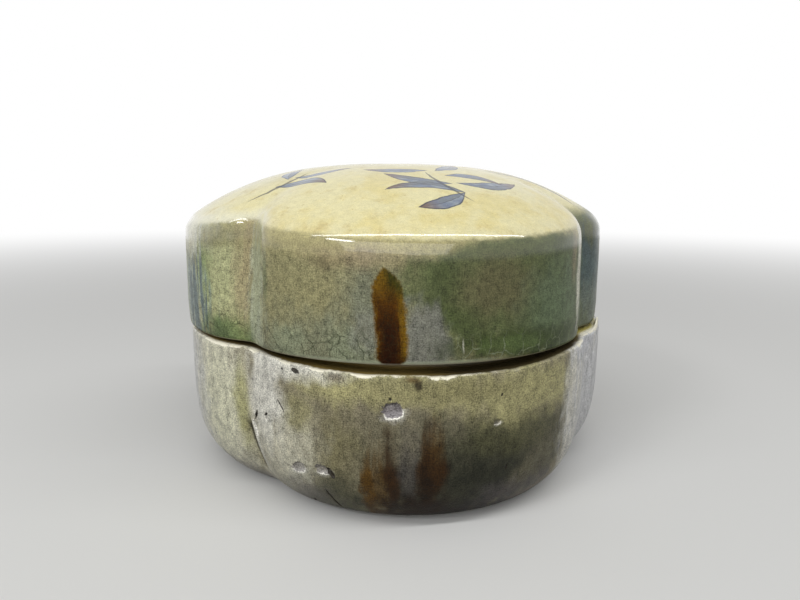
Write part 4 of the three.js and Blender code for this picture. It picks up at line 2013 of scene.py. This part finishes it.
@dataclass(frozen=True)
class Lamp:
    """A soft lamp that faces the box.

    Attributes:
        name: Its name.
        place: Its place in metres.
        wide: Its width in metres.
        tall: Its other side in metres.
        power: Its power in watts.
        aim: The place that it faces, in metres.
    """

    name: str
    place: tuple[float, float, float]
    wide: float
    tall: float
    power: float
    aim: tuple[float, float, float] = (0.0, 0.0, 0.03)

    def build(self) -> None:
        """Adds the lamp and turns it towards the box."""
        bpy.ops.object.select_all(action="DESELECT")
        bpy.ops.object.light_add(type="AREA", location=self.place)
        lamp = bpy.context.object
        lamp.name = self.name
        lamp.data.shape = "RECTANGLE"
        lamp.data.size = self.wide
        lamp.data.size_y = self.tall
        lamp.data.energy = self.power
        lamp.rotation_euler = (Vector(self.aim) - lamp.location).to_track_quat("-Z", "Y").to_euler()


@dataclass(frozen=True)
class Studio:
    """A pale floor that fades to white, soft lamps and pale surroundings.

    Attributes:
        floor_size: The floor's side in metres.
        clear: How far from the box the floor begins to fade, in metres.
        faded: Where it has become white, in metres.
        paper: The floor's colour as it is seen.
        bounce: Its colour for the light that it throws back at the box.
        surroundings: How strongly the surroundings light the box.
        lamps: The lamps.
    """

    floor_size: float = 8.0
    clear: float = 0.12
    faded: float = 0.7
    paper: Tint = tint(218, 218, 216)
    bounce: Tint = tint(112, 112, 113)
    surroundings: float = 0.34
    lamps: tuple[Lamp, ...] = (
        Lamp("overhead tube", (0.0, -0.3, 0.68), wide=1.8, tall=0.06, power=3.6),
        Lamp("front lamp", (-0.22, -0.7, 0.28), wide=0.9, tall=0.5, power=2.7),
        Lamp("window", (-0.5, -0.4, 0.45), wide=0.16, tall=0.08, power=0.75),
    )

    def seen(self, nodes: Nodes) -> Value:
        """Tells rays from the camera, and those that a shiny or clear surface passes on, from all others.

        Args:
            nodes: The nodes of the floor or of the surroundings.

        Returns:
            1 for those rays and 0 for the others.
        """
        rays = nodes.add("ShaderNodeLightPath").outputs
        camera = Value(nodes, rays["Is Camera Ray"])
        mirrored = camera.over(Value(nodes, rays["Is Glossy Ray"]))
        return mirrored.over(Value(nodes, rays["Is Transmission Ray"]))

    def build_floor(self) -> None:
        """Adds the floor."""
        bpy.ops.object.select_all(action="DESELECT")
        bpy.ops.mesh.primitive_plane_add(size=self.floor_size, location=(0.0, 0.0, 0.0))
        floor = bpy.context.object
        floor.name = "floor"
        graph = Graph("pale floor")
        distance = (graph.x**2.0 + graph.y**2.0) ** 0.5 * MILLIMETRE
        fade = distance.rise(self.clear, self.faded)
        seen = self.seen(graph)
        colour = graph.plain(self.bounce).toward(self.paper, seen)
        paper = graph.add("ShaderNodeBsdfDiffuse", {"Color": colour}).outputs["BSDF"]
        glow = graph.add("ShaderNodeEmission", {"Color": WHITE, "Strength": 1.0}).outputs["Emission"]
        both = graph.add("ShaderNodeMixShader", {"Fac": fade * seen, 1: paper, 2: glow})
        graph.add("ShaderNodeOutputMaterial", {"Surface": both.outputs["Shader"]})
        floor.data.materials.append(graph.owner)

    def build_world(self) -> None:
        """Makes the surroundings white to the eye and softer as light."""
        world = bpy.data.worlds.new("soft surroundings")
        nodes = Nodes(world)
        strength = nodes.add(
            "ShaderNodeMapRange", {"Value": self.seen(nodes), "To Min": self.surroundings, "To Max": 1.0}
        )
        sky = nodes.add("ShaderNodeBackground", {"Color": WHITE, "Strength": strength.outputs["Result"]})
        nodes.add("ShaderNodeOutputWorld", {"Surface": sky.outputs["Background"]})
        bpy.context.scene.world = world

    def build(self) -> None:
        """Adds the floor, the surroundings and the lamps."""
        self.build_floor()
        self.build_world()
        for lamp in self.lamps:
            lamp.build()


@dataclass
class CeramicBox:
    """The whole box: its base and its lid."""

    def build(self) -> None:
        """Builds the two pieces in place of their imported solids."""
        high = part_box("base")[1] / MILLIMETRE
        outline = Outline(half_length=high.x, half_depth=high.y)
        pieces = (
            (Base(outline, groove=0.55), "base", "base_glaze"),
            (Lid(outline, groove=2.8), "lid", "lid_glaze"),
        )
        for shell, body, slot in pieces:
            piece = shell.build()
            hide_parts(body)
            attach(piece, body)
            LOG.info("%s: %d faces, rides on %s", piece.name, len(piece.data.polygons), body)


def main() -> None:
    """Builds the scene."""
    logging.basicConfig(level=logging.INFO, format="%(name)s: %(message)s")
    bpy.context.scene.view_settings.view_transform = "Standard"
    Camera().build()
    Studio().build()
    CeramicBox().build()


if __name__ == "__main__":
    main()
